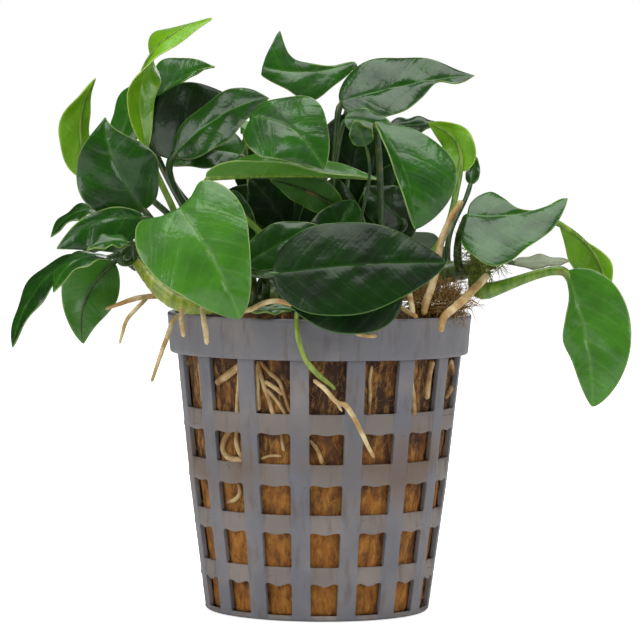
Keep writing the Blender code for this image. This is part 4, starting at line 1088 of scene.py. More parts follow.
def strand_tree() -> bpy.types.NodeTree:
    """Return the tree that sweeps roots and stems along chains of edges."""
    real, whole = "NodeSocketFloat", "NodeSocketInt"
    tree, given, out = tree_with_inputs("grow_strands", {
        "Step": real, "Wobble": real, "Wobble Size": real, "Seed": real, "Ring Depth": real,
        "Ring Spacing": real, "Sides": whole, "Finish": "NodeSocketMaterial"})
    curve = add_node(tree, "GeometryNodeMeshToCurve", links={0: given.outputs["Geometry"]})
    smooth = add_node(tree, "GeometryNodeCurveSplineType", {"spline_type": "CATMULL_ROM"},
                      {0: curve.outputs[0]})
    fine = add_node(tree, "GeometryNodeResampleCurve", {"mode": "LENGTH"},
                    {"Curve": smooth.outputs[0], "Length": given.outputs["Step"]})
    spot = add_node(tree, "GeometryNodeInputPosition").outputs[0]
    scale = add_node(tree, "ShaderNodeMath", {"operation": "DIVIDE", 0: 1.0},
                     {1: given.outputs["Wobble Size"]})
    rough = add_node(tree, "ShaderNodeTexNoise", {"noise_dimensions": "4D", "Detail": 2.0},
                     {"Vector": spot, "Scale": scale.outputs[0], "W": given.outputs["Seed"]})
    centred = add_node(tree, "ShaderNodeVectorMath", {"operation": "SUBTRACT", 1: (0.5, 0.5, 0.5)},
                       {0: rough.outputs["Color"]})
    twice = add_node(tree, "ShaderNodeMath", {"operation": "MULTIPLY", 1: 2.0},
                     {0: given.outputs["Wobble"]})
    shift = add_node(tree, "ShaderNodeVectorMath", {"operation": "SCALE"},
                     {0: centred.outputs[0], "Scale": twice.outputs[0]})
    bent = add_node(tree, "GeometryNodeSetPosition", links={"Geometry": fine.outputs[0],
                                                            "Offset": shift.outputs[0]})
    radius = add_node(tree, "GeometryNodeInputNamedAttribute", {"Name": "radius_m"}).outputs[0]
    run = add_node(tree, "GeometryNodeSplineParameter").outputs["Length"]
    total = add_node(tree, "GeometryNodeSplineLength").outputs["Length"]
    rest = add_node(tree, "ShaderNodeMath", {"operation": "SUBTRACT"}, {0: total, 1: run})
    near = add_node(tree, "ShaderNodeMath", {"operation": "MINIMUM"}, {0: run, 1: rest.outputs[0]})
    share = add_node(tree, "ShaderNodeMath", {"operation": "DIVIDE", "use_clamp": True},
                     {0: near.outputs[0], 1: radius})
    gap = add_node(tree, "ShaderNodeMath", {"operation": "SUBTRACT", 0: 1.0}, {1: share.outputs[0]})
    square = add_node(tree, "ShaderNodeMath", {"operation": "POWER", 1: 2.0}, {0: gap.outputs[0]})
    left = add_node(tree, "ShaderNodeMath", {"operation": "SUBTRACT", 0: 1.03},
                    {1: square.outputs[0]})
    dome = add_node(tree, "ShaderNodeMath", {"operation": "SQRT"}, {0: left.outputs[0]})
    rings = add_node(tree, "ShaderNodeMath", {"operation": "PINGPONG"},
                     {0: run, 1: given.outputs["Ring Spacing"]})
    depth = add_node(tree, "ShaderNodeMath", {"operation": "DIVIDE"},
                     {0: rings.outputs[0], 1: given.outputs["Ring Spacing"]})
    groove = add_node(tree, "ShaderNodeMath", {"operation": "POWER", 1: 0.4},
                      {0: depth.outputs[0]})
    notch = add_node(tree, "ShaderNodeMath", {"operation": "MULTIPLY_ADD", 2: 1.0},
                     {0: groove.outputs[0], 1: given.outputs["Ring Depth"]})
    domed = add_node(tree, "ShaderNodeMath", {"operation": "MULTIPLY"},
                     {0: dome.outputs[0], 1: notch.outputs[0]})
    size = add_node(tree, "ShaderNodeMath", {"operation": "MULTIPLY"},
                    {0: domed.outputs[0], 1: radius})
    circle = add_node(tree, "GeometryNodeCurvePrimitiveCircle", {"Radius": 1.0},
                      {"Resolution": given.outputs["Sides"]})
    skin = add_node(tree, "GeometryNodeCurveToMesh", {"Fill Caps": True},
                    {"Curve": bent.outputs[0], "Profile Curve": circle.outputs[0],
                     "Scale": size.outputs[0]})
    round_off = add_node(tree, "GeometryNodeSetShadeSmooth", links={0: skin.outputs[0]})
    real_mesh = add_node(tree, "GeometryNodeRealizeInstances", links={0: round_off.outputs[0]})
    dressed = add_node(tree, "GeometryNodeSetMaterial",
                       links={"Geometry": real_mesh.outputs[0],
                              "Material": given.outputs["Finish"]})
    tree.links.new(dressed.outputs[0], out.inputs[0])
    return tree


def scatter_tree() -> bpy.types.NodeTree:
    """Return the tree that strews fibres over a surface."""
    real, whole = "NodeSocketFloat", "NodeSocketInt"
    tree, given, out = tree_with_inputs("strew_fibres", {
        "Fibre": "NodeSocketObject", "Density": real, "Seed": whole, "Smallest": real,
        "Largest": real, "Outward": real, "Upward": real, "Spread": real,
        "Finish": "NodeSocketMaterial"})
    points = add_node(tree, "GeometryNodeDistributePointsOnFaces",
                      links={"Mesh": given.outputs["Geometry"], "Density": given.outputs["Density"],
                             "Seed": given.outputs["Seed"]})
    outward = add_node(tree, "ShaderNodeVectorMath", {"operation": "SCALE"},
                       {0: points.outputs["Normal"], "Scale": given.outputs["Outward"]})
    upward = add_node(tree, "ShaderNodeCombineXYZ", links={"Z": given.outputs["Upward"]})
    stray = add_node(tree, "FunctionNodeRandomValue",
                     {"data_type": "FLOAT_VECTOR", 0: (-1.0, -1.0, -1.0), 1: (1.0, 1.0, 1.0)},
                     {"Seed": given.outputs["Seed"]})
    spread = add_node(tree, "ShaderNodeVectorMath", {"operation": "SCALE"},
                      {0: stray.outputs[0], "Scale": given.outputs["Spread"]})
    lean = add_node(tree, "ShaderNodeVectorMath", {"operation": "ADD"},
                    {0: outward.outputs[0], 1: upward.outputs[0]})
    aim = add_node(tree, "ShaderNodeVectorMath", {"operation": "ADD"},
                   {0: lean.outputs[0], 1: spread.outputs[0]})
    turned = add_node(tree, "FunctionNodeAlignRotationToVector", {"axis": "Z"},
                      {"Vector": aim.outputs[0]})
    spin = add_node(tree, "FunctionNodeRandomValue",
                    {"data_type": "FLOAT_VECTOR", 0: (0.0, 0.0, 0.0), 1: (0.0, 0.0, TURN)},
                    {"Seed": given.outputs["Seed"]})
    spun = add_node(tree, "FunctionNodeRotateRotation", {"rotation_space": "LOCAL"},
                    {"Rotation": turned.outputs[0], "Rotate By": spin.outputs[0]})
    size = add_node(tree, "FunctionNodeRandomValue", {"data_type": "FLOAT"},
                    {2: given.outputs["Smallest"], 3: given.outputs["Largest"],
                     "Seed": given.outputs["Seed"]})
    fibre = add_node(tree, "GeometryNodeObjectInfo", links={0: given.outputs["Fibre"]})
    placed = add_node(tree, "GeometryNodeInstanceOnPoints",
                      links={"Points": points.outputs[0], "Instance": fibre.outputs["Geometry"],
                             "Rotation": spun.outputs[0], "Scale": size.outputs[1]})
    tint = add_node(tree, "FunctionNodeRandomValue", {"data_type": "FLOAT", "Seed": 77})
    tinted = add_node(tree, "GeometryNodeStoreNamedAttribute",
                      {"data_type": "FLOAT", "domain": "INSTANCE", "Name": "tint"},
                      {"Geometry": placed.outputs[0], "Value": tint.outputs[1]})
    real_mesh = add_node(tree, "GeometryNodeRealizeInstances", links={0: tinted.outputs[0]})
    dressed = add_node(tree, "GeometryNodeSetMaterial",
                       links={"Geometry": real_mesh.outputs[0],
                              "Material": given.outputs["Finish"]})
    tree.links.new(dressed.outputs[0], out.inputs[0])
    return tree


def ring_tree() -> bpy.types.NodeTree:
    """Return the tree that sets copies of a panel round the pot's axis."""
    tree, given, out = tree_with_inputs("ring_of_panels", {
        "Count": "NodeSocketInt", "Weld": "NodeSocketFloat", "Finish": "NodeSocketMaterial"})
    points = add_node(tree, "GeometryNodePoints", links={"Count": given.outputs["Count"]})
    index = add_node(tree, "GeometryNodeInputIndex").outputs[0]
    step = add_node(tree, "ShaderNodeMath", {"operation": "DIVIDE", 0: TURN},
                    {1: given.outputs["Count"]})
    angle = add_node(tree, "ShaderNodeMath", {"operation": "MULTIPLY"},
                     {0: index, 1: step.outputs[0]})
    turn = add_node(tree, "ShaderNodeCombineXYZ", links={"Z": angle.outputs[0]})
    placed = add_node(tree, "GeometryNodeInstanceOnPoints",
                      links={"Points": points.outputs[0], "Instance": given.outputs["Geometry"],
                             "Rotation": turn.outputs[0]})
    real_mesh = add_node(tree, "GeometryNodeRealizeInstances", links={0: placed.outputs[0]})
    welded = add_node(tree, "GeometryNodeMergeByDistance",
                      links={"Geometry": real_mesh.outputs[0], "Distance": given.outputs["Weld"]})
    smooth = add_node(tree, "GeometryNodeSetShadeSmooth", links={0: welded.outputs[0]})
    dressed = add_node(tree, "GeometryNodeSetMaterial",
                       links={"Geometry": smooth.outputs[0], "Material": given.outputs["Finish"]})
    tree.links.new(dressed.outputs[0], out.inputs[0])
    return tree


# ---------------------------------------------------------------- roots and stems
@dataclass(frozen=True)
class Strand:
    """A root or stem: the places it runs through and its radius at each, in millimetres."""

    name: str
    places: tuple[Place, ...]
    radii: tuple[float, ...]


class StrandKind(Enum):
    """What a strand is, which sets its surface."""

    ROOT = "root"
    STEM = "stem"
    SHEATH = "sheath"


STEMS = (
    Strand("rhizome_left_upper", ((-12.5, -1.0, 50.0), (-17.5, -1.2, 53.6), (-23.5, -3.0, 54.6),
           (-29.8, -6.2, 56.2)), (1.6, 1.6, 1.4, 0.9)),
    Strand("rhizome_middle", ((-9.0, -6.5, 51.0), (-2.0, -3.0, 54.0), (9.0, -3.0, 54.4)),
           (1.8, 1.9, 1.6)),
    Strand("rhizome_right", ((12.4, -4.0, 52.0), (18.0, -3.0, 55.0), (26.0, -3.0, 56.6)),
           (1.7, 1.8, 1.2)),
    Strand("rhizome_back", ((-12.0, 11.6, 51.0), (-3.0, 11.6, 53.0), (9.0, 11.6, 54.0)),
           (1.6, 1.8, 1.4)),
)
SHEATHS = (
    Strand("rhizome_left", ((-12.5, -12.0, 50.0), (-17.3, -17.0, 50.6), (-21.5, -18.2, 50.8),
           (-25.5, -17.0, 53.0), (-29.8, -12.5, 57.6)), (1.2, 1.3, 1.3, 1.2, 0.7)),
)
RUNNERS = (
    Strand("green_runner", ((-3.6, -24.4, 50.2), (-3.5, -26.6, 47.6), (-3.2, -27.2, 45.6),
           (-2.3, -27.0, 43.0), (-0.7, -26.6, 40.9), (2.7, -26.2, 38.0)),
           (0.5, 0.6, 0.6, 0.6, 0.7, 0.35)),
)
ROOTS = (
    Strand("forked_left_root", ((-22.0, -10.6, 51.0), (-25.0, -11.4, 51.8), (-28.3, -14.0, 51.7),
           (-30.6, -15.0, 51.2), (-34.4, -15.0, 49.8)), (0.6, 0.6, 0.55, 0.5, 0.3)),
    Strand("left_side_root", ((-21.2, -15.0, 49.4), (-23.2, -16.8, 48.4), (-24.3, -18.4, 45.6),
           (-25.4, -19.0, 42.4), (-26.7, -19.0, 38.4)), (0.4, 0.45, 0.5, 0.45, 0.3)),
    Strand("yellow_front_root", ((-12.6, -22.6, 49.9), (-10.6, -25.4, 50.6), (-8.6, -26.6, 51.6),
           (-6.6, -27.6, 51.9), (-4.2, -28.6, 51.4)), (0.45, 0.5, 0.5, 0.5, 0.4)),
    Strand("front_root", ((-0.9, -27.8, 39.6), (1.1, -27.8, 38.0), (2.9, -27.4, 36.0),
           (4.4, -27.0, 35.4), (5.9, -26.4, 33.0), (7.4, -25.6, 30.0), (8.9, -24.8, 27.0)),
           (0.35, 0.45, 0.45, 0.55, 0.5, 0.45, 0.3)),
    Strand("rim_root", ((3.0, -24.8, 49.9), (4.2, -26.4, 48.4), (6.0, -27.2, 46.9),
           (9.1, -27.6, 46.5)), (0.4, 0.45, 0.45, 0.4)),
    Strand("thick_right_root", ((27.0, -11.0, 55.6), (25.2, -14.5, 53.9), (22.2, -20.0, 51.4),
           (19.8, -23.6, 49.5), (19.2, -25.6, 47.2)), (0.75, 0.8, 0.8, 0.75, 0.6)),
    Strand("tall_right_root", ((23.0, -7.6, 67.6), (21.2, -9.0, 64.8), (19.6, -10.4, 61.0),
           (18.4, -13.6, 55.0), (17.2, -15.6, 51.6), (16.7, -16.6, 49.4)),
           (0.6, 0.65, 0.7, 0.75, 0.75, 0.6)),
    Strand("short_right_root", ((14.4, -13.6, 53.2), (14.8, -17.6, 50.6), (14.9, -18.6, 49.2)),
           (0.6, 0.6, 0.5)),
)
RIM_ROOTLETS = (
    Strand("left", ((-21.7, -20.5, 50.2), (-21.8, -23.6, 48.8), (-21.6, -24.4, 47.4),
           (-21.4, -24.4, 45.9)), (0.4, 0.5, 0.5, 0.4)),
    Strand("left_long", ((-18.6, -21.0, 50.6), (-18.3, -25.6, 49.4), (-17.9, -26.6, 47.2),
           (-17.6, -26.8, 44.9)), (0.4, 0.5, 0.55, 0.45)),
    Strand("fork_branch", ((-27.8, -14.0, 51.5), (-29.5, -17.6, 49.8), (-30.7, -18.6, 48.3),
           (-31.4, -18.8, 46.2), (-31.8, -19.0, 44.4)), (0.4, 0.42, 0.4, 0.36, 0.25)),
    Strand("twig", ((2.7, -27.6, 36.4), (3.2, -27.8, 35.4), (3.7, -27.8, 34.6)),
           (0.3, 0.28, 0.2)),
    Strand("green_shoot", ((12.0, -20.0, 51.4), (13.6, -21.4, 50.4), (15.6, -22.6, 49.3)),
           (0.45, 0.45, 0.4)),
)


def strand_chains(name: str, strands: tuple[Strand, ...], slim: float) -> bpy.types.Object:
    """Make an object of edge chains, one for each strand, with its slimmed radii stored."""
    places, radii, edges = [], [], []
    for strand in strands:
        first = len(places)
        places.extend(strand.places)
        radii.extend(radius * slim for radius in strand.radii)
        edges.extend((first + step, first + step + 1) for step in range(len(strand.places) - 1))
    data = bpy.data.meshes.new(name)
    data.from_pydata([[value * MM for value in place] for place in places], edges, [])
    store_values(data, "radius_m", np.array(radii) * MM)
    obj = bpy.data.objects.new(name, data)
    bpy.context.scene.collection.objects.link(obj)
    return obj


@dataclass
class RootWork:
    """The creeping stems, the roots that hang over the rim and the runner."""

    step: float = 0.3
    wobble: float = 0.12
    wobble_size: float = 2.6
    sides: int = 14
    slimming: float = 0.8
    runner_slimming: float = 0.66

    def __post_init__(self) -> None:
        """Build the tree that all strands share."""
        self.tree = strand_tree()

    def strand_piece(self, name: str, strands: tuple[Strand, ...], finish: bpy.types.Material,
                     ring_depth: float = 0.0, wobble: float | None = None,
                     slim: float = 1.0) -> bpy.types.Object:
        """Sweep strands into one plain mesh.

        Args:
            name: The piece's name.
            strands: The strands that it holds.
            finish: Their material.
            ring_depth: How far the joints' rings stand out, as a share of the radius.
            wobble: How far the path strays, in millimetres.
            slim: What the radii are multiplied by.

        Returns:
            The piece.
        """
        chains = strand_chains(name, strands, slim)
        stray = self.wobble if wobble is None else wobble
        return run_tree(chains, self.tree, {
            "Step": self.step * MM, "Wobble": stray * MM, "Wobble Size": self.wobble_size * MM,
            "Seed": float(sum(map(ord, name)) % 31), "Ring Depth": ring_depth,
            "Ring Spacing": 0.8 * MM, "Sides": self.sides, "Finish": finish})

    def build(self, finishes: dict[StrandKind, bpy.types.Material],
              runner: bpy.types.Material) -> None:
        """Build every stem and root and hand it over.

        Args:
            finishes: The material of each kind of strand.
            runner: The material of the green runner.
        """
        for strand in STEMS:
            piece = self.strand_piece(strand.name + "_stem", (strand,),
                                      finishes[StrandKind.STEM], 0.16)
            hand_over(piece, "stem", strand.name)
        for strand in SHEATHS:
            piece = self.strand_piece(strand.name + "_stem", (strand,),
                                      finishes[StrandKind.SHEATH], 0.1)
            hand_over(piece, "sheath", strand.name)
        for strand in RUNNERS:
            piece = self.strand_piece(strand.name + "_stem", (strand,), runner,
                                      slim=self.runner_slimming)
            hand_over(piece, "stem", strand.name)
        for strand in ROOTS:
            piece = self.strand_piece(strand.name + "_strand", (strand,),
                                      finishes[StrandKind.ROOT], slim=self.slimming)
            hand_over(piece, "root", strand.name)
        rootlets = self.strand_piece("rim_rootlets", RIM_ROOTLETS, finishes[StrandKind.ROOT],
                                     slim=self.slimming)
        hand_over(rootlets, "root")


# ---------------------------------------------------------------- net pot
@dataclass
class NetPot:
    """The slotted pot: sixteen columns of five windows under a plain rim band."""

    height: float = 48.9
    rim_low: float = 42.3
    rim_top_radius: float = 25.0
    rim_low_radius: float = 24.5
    wall_top_radius: float = 23.45
    wall_mid_radius: float = 21.15
    wall_mid_height: float = 20.5
    wall_foot_radius: float = 18.4
    wall: float = 0.75
    floor: float = 0.75
    columns: int = 16
    column_turn: float = 3.6
    rib_width: float = 3.0
    rows: tuple[tuple[float, float], ...] = ((0.95, 6.2), (8.8, 14.45), (17.3, 22.2),
                                             (25.5, 30.5), (33.6, 43.4))
    dips: tuple[float, ...] = (0.5, 0.3, 0.26, 0.28, 0.0)
    corner: float = 0.55
    recess: float = 0.42

    def radius(self, height: np.ndarray) -> np.ndarray:
        """Return the wall's outer radius at a height."""
        return np.interp(height, (0.0, self.wall_mid_height, self.rim_low),
                         (self.wall_foot_radius, self.wall_mid_radius, self.wall_top_radius))

    def panel(self) -> bpy.types.Object:
        """Return the outer skin of one column, centred on a rib's gap at the front."""
        half_cell = math.pi / self.columns
        arc = np.sin(np.linspace(0.0, math.pi / 2.0, 5))
        window = np.concatenate([-1.0 + (1.0 - arc[::-1]) * 0.0, np.array([])])
        corner_share = 0.2
        rounded = 1.0 - corner_share + corner_share * arc
        inner = np.linspace(0.0, 1.0 - corner_share, 6)[:-1]
        right = np.concatenate([inner, rounded])
        window = np.concatenate([-right[::-1], right[1:]])
        rib = np.linspace(1.0, 0.0, 4)[:-1]
        places, bands, faces = [], [], []
        index = {}

        def vertex(key: tuple, turn: float, height: float, band: float, inset: float) -> int:
            """Add or find a vertex of the skin."""
            if key not in index:
                index[key] = len(places)
                radius = float(self.radius(height)) - inset
                places.append((radius * math.sin(turn), -radius * math.cos(turn), height))
                bands.append(band)
            return index[key]

        def gap_turn(height: float) -> float:
            """Return half the angle of a window at a height."""
            radius = float(self.radius(height))
            return half_cell - 0.5 * self.rib_width / radius

        def top_of(row: int, share: float) -> float:
            """Return the height of a window's top edge at a share of its half width."""
            low, high = self.rows[row]
            if row == len(self.rows) - 1:
                return high
            reach = max(abs(share) - (1.0 - corner_share), 0.0) / corner_share
            drop = self.corner * (1.0 - math.sqrt(max(1.0 - reach ** 2, 0.0)))
            dip = self.dips[row] * (0.5 + 0.5 * math.cos(math.pi * min(abs(share) / 0.75, 1.0)))
            return high - drop - dip

        def bottom_of(row: int, share: float) -> float:
            """Return the height of a window's bottom edge at a share of its half width."""
            low, _ = self.rows[row]
            reach = max(abs(share) - (1.0 - corner_share), 0.0) / corner_share
            return low + 0.45 * self.corner * (1.0 - math.sqrt(max(1.0 - reach ** 2, 0.0)))

        def add_quad(corners: list[int]) -> None:
            """Add a face unless it is folded flat."""
            if len(set(corners)) == 4:
                faces.append(corners)

        steps = 5
        zones = []
        for row in range(len(self.rows)):
            below = top_of(row - 1, 1.0) if row else 0.4
            zones.append(("band", row, below, bottom_of(row, 1.0)))
            zones.append(("gap", row, bottom_of(row, 1.0), top_of(row, 1.0)))
        for kind, row, low, high in zones:
            count = steps if kind == "band" else 6
            for step in range(count):
                shares = (step / count, (step + 1) / count)
                for side in (-1.0, 1.0):
                    for column in range(len(rib)):
                        edges = (rib[column], rib[column + 1] if column + 1 < len(rib) else 0.0)
                        corners = []
                        for share, edge in ((shares[0], edges[0]), (shares[0], edges[1]),
                                            (shares[1], edges[1]), (shares[1], edges[0])):
                            height = low + (high - low) * share
                            turn = half_cell + (gap_turn(height) - half_cell) * edge
                            key = ("rib", side, round(edge, 4), round(height, 4))
                            corners.append(vertex(key, side * turn, height, 0.0, 0.0))
                        if side < 0.0:
                            corners.reverse()
                        add_quad(corners)
                if kind == "gap":
                    continue
                for left, right_share in zip(window[:-1], window[1:]):
                    corners = []
                    for share, across in ((shares[0], left), (shares[0], right_share),
                                          (shares[1], right_share), (shares[1], left)):
                        base = top_of(row - 1, across) if row else 0.4
                        height = base + (bottom_of(row, across) - base) * share
                        turn = gap_turn(height) * across
                        if abs(across) > 0.9999:
                            key = ("rib", math.copysign(1.0, across), 1.0, round(height, 4))
                            corners.append(vertex(key, turn, height, 0.0, 0.0))
                        else:
                            band = float(smoothstep(1.0, 0.8, np.array(abs(across))))
                            key = ("band", round(float(across), 4), round(height, 4))
                            inset = self.recess * band * share
                            corners.append(vertex(key, turn, height, band, inset))
                    add_quad(corners)
        obj = mesh_object("pot_panel", np.array(places), faces)
        store_values(obj.data, "band", np.array(bands))
        return obj

    def turned(self, name: str, profile: list[tuple[float, float]], steps: int = 256,
               rough: float = 0.0) -> bpy.types.Object:
        """Turn a closed profile round the axis.

        Args:
            name: The object's name.
            profile: Radius and height of each corner, in order round the section, outside
                upwards.
            steps: How many steps the turn has.
            rough: How far the surface strays, in millimetres.

        Returns:
            The ring's object.
        """
        count = len(profile)
        places = []
        for step in range(steps):
            turn = TURN * step / steps
            for radius, height in profile:
                place = Vector((radius * math.sin(turn), -radius * math.cos(turn), height))
                stray = noise.noise(place * 0.35) * rough
                places.append(((radius + stray) * math.sin(turn),
                               -(radius + stray) * math.cos(turn), height + 0.4 * stray))
        faces = []
        for step in range(steps):
            after = (step + 1) % steps
            for corner in range(count):
                up = (corner + 1) % count
                faces.append((step * count + corner, after * count + corner, after * count + up,
                              step * count + up))
        obj = mesh_object(name, np.array(places), faces)
        store_values(obj.data, "band", np.full(len(places), 0.15))
        return obj

    def rim_profile(self) -> list[tuple[float, float]]:
        """Return the section of the rim band, its lip and the ledge beneath it."""
        low, top, low_r, top_r = self.rim_low, self.height, self.rim_low_radius, self.rim_top_radius
        outer = [(low_r - 0.25, low), (low_r - 0.08, low + 0.07), (low_r, low + 0.28)]
        rise = np.linspace(0.12, 0.88, 9)
        outer += [(low_r + (top_r - low_r) * share, low + (top - low) * share) for share in rise]
        lip = [(top_r, top - 0.42), (top_r - 0.08, top - 0.12), (top_r - 0.3, top),
               (top_r - 0.7, top), (top_r - 0.92, top - 0.12), (top_r - 1.0, top - 0.4)]
        inner_r = self.wall_top_radius - self.wall
        inside = [(top_r - 1.2, low + 3.4), (low_r - 1.1, low + 1.3), (inner_r + 0.1, low + 0.6),
                  (inner_r, low - 0.02)]
        return outer + lip + inside

    def build(self, plastic: bpy.types.Material) -> bpy.types.Object:
        """Build the pot and hand it over.

        Args:
            plastic: The pot's material.

        Returns:
            The pot.
        """
        wall = run_tree(self.panel(), ring_tree(), {"Count": self.columns, "Weld": 2e-5,
                                                    "Finish": plastic})
        wall.data.transform(Euler((0.0, 0.0, math.radians(self.column_turn))).to_matrix().to_4x4())
        shell = wall.modifiers.new("wall", "SOLIDIFY")
        shell.thickness = self.wall * MM
        shell.offset = -1.0
        shell.use_even_offset = True
        edge = wall.modifiers.new("moulded_edges", "BEVEL")
        edge.width = 0.16 * MM
        edge.segments = 2
        edge.limit_method = "ANGLE"
        edge.angle_limit = math.radians(55.0)
        edge.use_clamp_overlap = True
        apply_modifiers(wall)
        rim = self.turned("pot_rim", self.rim_profile(), rough=0.12)
        foot_r = self.wall_foot_radius
        foot = self.turned("pot_foot", [
            (foot_r - 0.55, 0.0), (foot_r - 0.3, 0.05), (foot_r - 0.1, 0.2), (foot_r, 0.45),
            (foot_r - 0.02, 0.6), (foot_r - 0.5, 0.62), (foot_r - 1.2, self.floor),
            (foot_r - 1.6, 0.4), (foot_r - 1.6, 0.0)])
        base = self.base_plate()
        for part in (rim, foot, base):
            part.data.materials.append(plastic)
        pot = join_pieces("net_pot_shell", [wall, rim, foot, base])
        hand_over(pot, "pot_plastic", "net_pot")
        return pot

    def base_plate(self) -> bpy.types.Object:
        """Return the floor of the pot, a disc with eight drainage slots."""
        curve = bpy.data.curves.new("base_outline", "CURVE")
        curve.dimensions = "2D"
        curve.fill_mode = "BOTH"
        curve.extrude = 0.5 * (self.floor - 0.2) * MM
        curve.bevel_depth = 0.08 * MM
        curve.resolution_u = 1
        outlines = [[(17.4 * math.cos(TURN * step / 128), 17.4 * math.sin(TURN * step / 128))
                     for step in range(128)]]
        for slot in range(8):
            turn = TURN * slot / 8.0
            arc = []
            for centre, start in ((13.5, -90.0), (7.5, 90.0)):
                for step in range(9):
                    angle = math.radians(start + step * 22.5)
                    arc.append((centre + math.cos(angle), math.sin(angle)))
            outlines.append([(x * math.sin(turn) + y * math.cos(turn),
                              -x * math.cos(turn) + y * math.sin(turn)) for x, y in arc])
        for outline in outlines:
            spline = curve.splines.new("POLY")
            spline.points.add(len(outline) - 1)
            for point, (x, y) in zip(spline.points, outline):
                point.co = (x * MM, y * MM, 0.0, 1.0)
            spline.use_cyclic_u = True
        holder = bpy.data.objects.new("base_outline", curve)
        bpy.context.scene.collection.objects.link(holder)
        bpy.context.view_layer.update()
        shape = holder.evaluated_get(bpy.context.evaluated_depsgraph_get())
        data = bpy.data.meshes.new_from_object(shape)
        bpy.data.objects.remove(holder)
        data.transform(Vector((0.0, 0.0, 0.5 * self.floor * MM)).to_track_quat("Z", "Y")
                       .to_matrix().to_4x4())
        lift = 0.5 * self.floor * MM
        for vert in data.vertices:
            vert.co.z += lift
        plate = bpy.data.objects.new("pot_base", data)
        bpy.context.scene.collection.objects.link(plate)
        store_values(data, "band", np.zeros(len(data.vertices)))
        return plate


# ---------------------------------------------------------------- stone wool
WALL_ROOTS = (
    (((-21.4, 41.2), (-21.6, 38.2), (-21.2, 34.0)), 0.55),
    (((-19.4, 41.2), (-19.0, 38.3), (-18.8, 34.6)), 0.3),
    (((-16.4, 38.0), (-14.6, 39.5), (-12.4, 41.2)), 0.62),
    (((-12.5, 41.6), (-12.7, 38.0), (-12.9, 35.6), (-13.0, 32.0)), 0.42),
    (((-9.8, 42.0), (-8.9, 38.6), (-7.9, 35.8), (-7.0, 32.6)), 0.36),
    (((-9.4, 42.0), (-7.8, 40.2), (-6.2, 38.7), (-5.3, 36.3), (-4.4, 33.8)), 0.32),
    (((-8.7, 38.8), (-6.9, 37.8), (-5.6, 36.7)), 0.36),
    (((-8.3, 37.6), (-6.5, 35.5), (-5.0, 33.2)), 0.3),
    (((-9.9, 41.6), (-9.7, 38.0), (-9.5, 34.0)), 0.4),
    (((8.4, 41.5), (8.1, 39.2), (8.2, 36.7), (8.0, 33.0)), 0.28),
    (((14.8, 42.0), (14.6, 38.9), (15.0, 36.1), (15.2, 33.0)), 0.6),
    (((18.3, 42.0), (17.7, 39.1), (17.4, 35.6)), 0.5),
    (((21.4, 41.6), (22.0, 38.6), (21.6, 36.8), (20.6, 35.6)), 0.45),
    (((-13.5, 31.6), (-15.0, 29.0), (-15.3, 27.3), (-14.1, 26.0), (-11.8, 25.9)), 0.5),
    (((-12.8, 31.6), (-13.1, 28.9), (-12.6, 27.2), (-11.8, 26.2)), 0.42),
    (((-6.0, 31.0), (-5.8, 29.5), (-5.5, 27.6)), 0.28),
    (((-9.2, 26.2), (-7.7, 26.8), (-5.8, 26.8)), 0.22),
    (((-1.5, 29.6), (-0.3, 28.2), (0.3, 27.0), (0.6, 25.6)), 0.33),
    (((-12.9, 22.6), (-12.5, 20.6), (-13.3, 19.3), (-14.7, 18.7)), 0.36),
)


def fibre_shape(name: str, length: float, radius: float, bend: float) -> bpy.types.Object:
    """Make one bowed fibre that stands on the origin and points up.

    Args:
        name: The object's name.
        length: Its length in millimetres.
        radius: Its radius in millimetres.
        bend: How far its middle bows out, in millimetres.

    Returns:
        The fibre's object, which only the scatter tree uses.
    """
    share = np.linspace(0.0, 1.0, 6)
    path = np.stack([bend * np.sin(np.pi * share), 0.4 * bend * np.sin(TURN * share),
                     length * share], axis=1)
    points, faces = sweep(path, radius * (1.0 - 0.6 * share), 3)
    return mesh_object(name, points, faces)


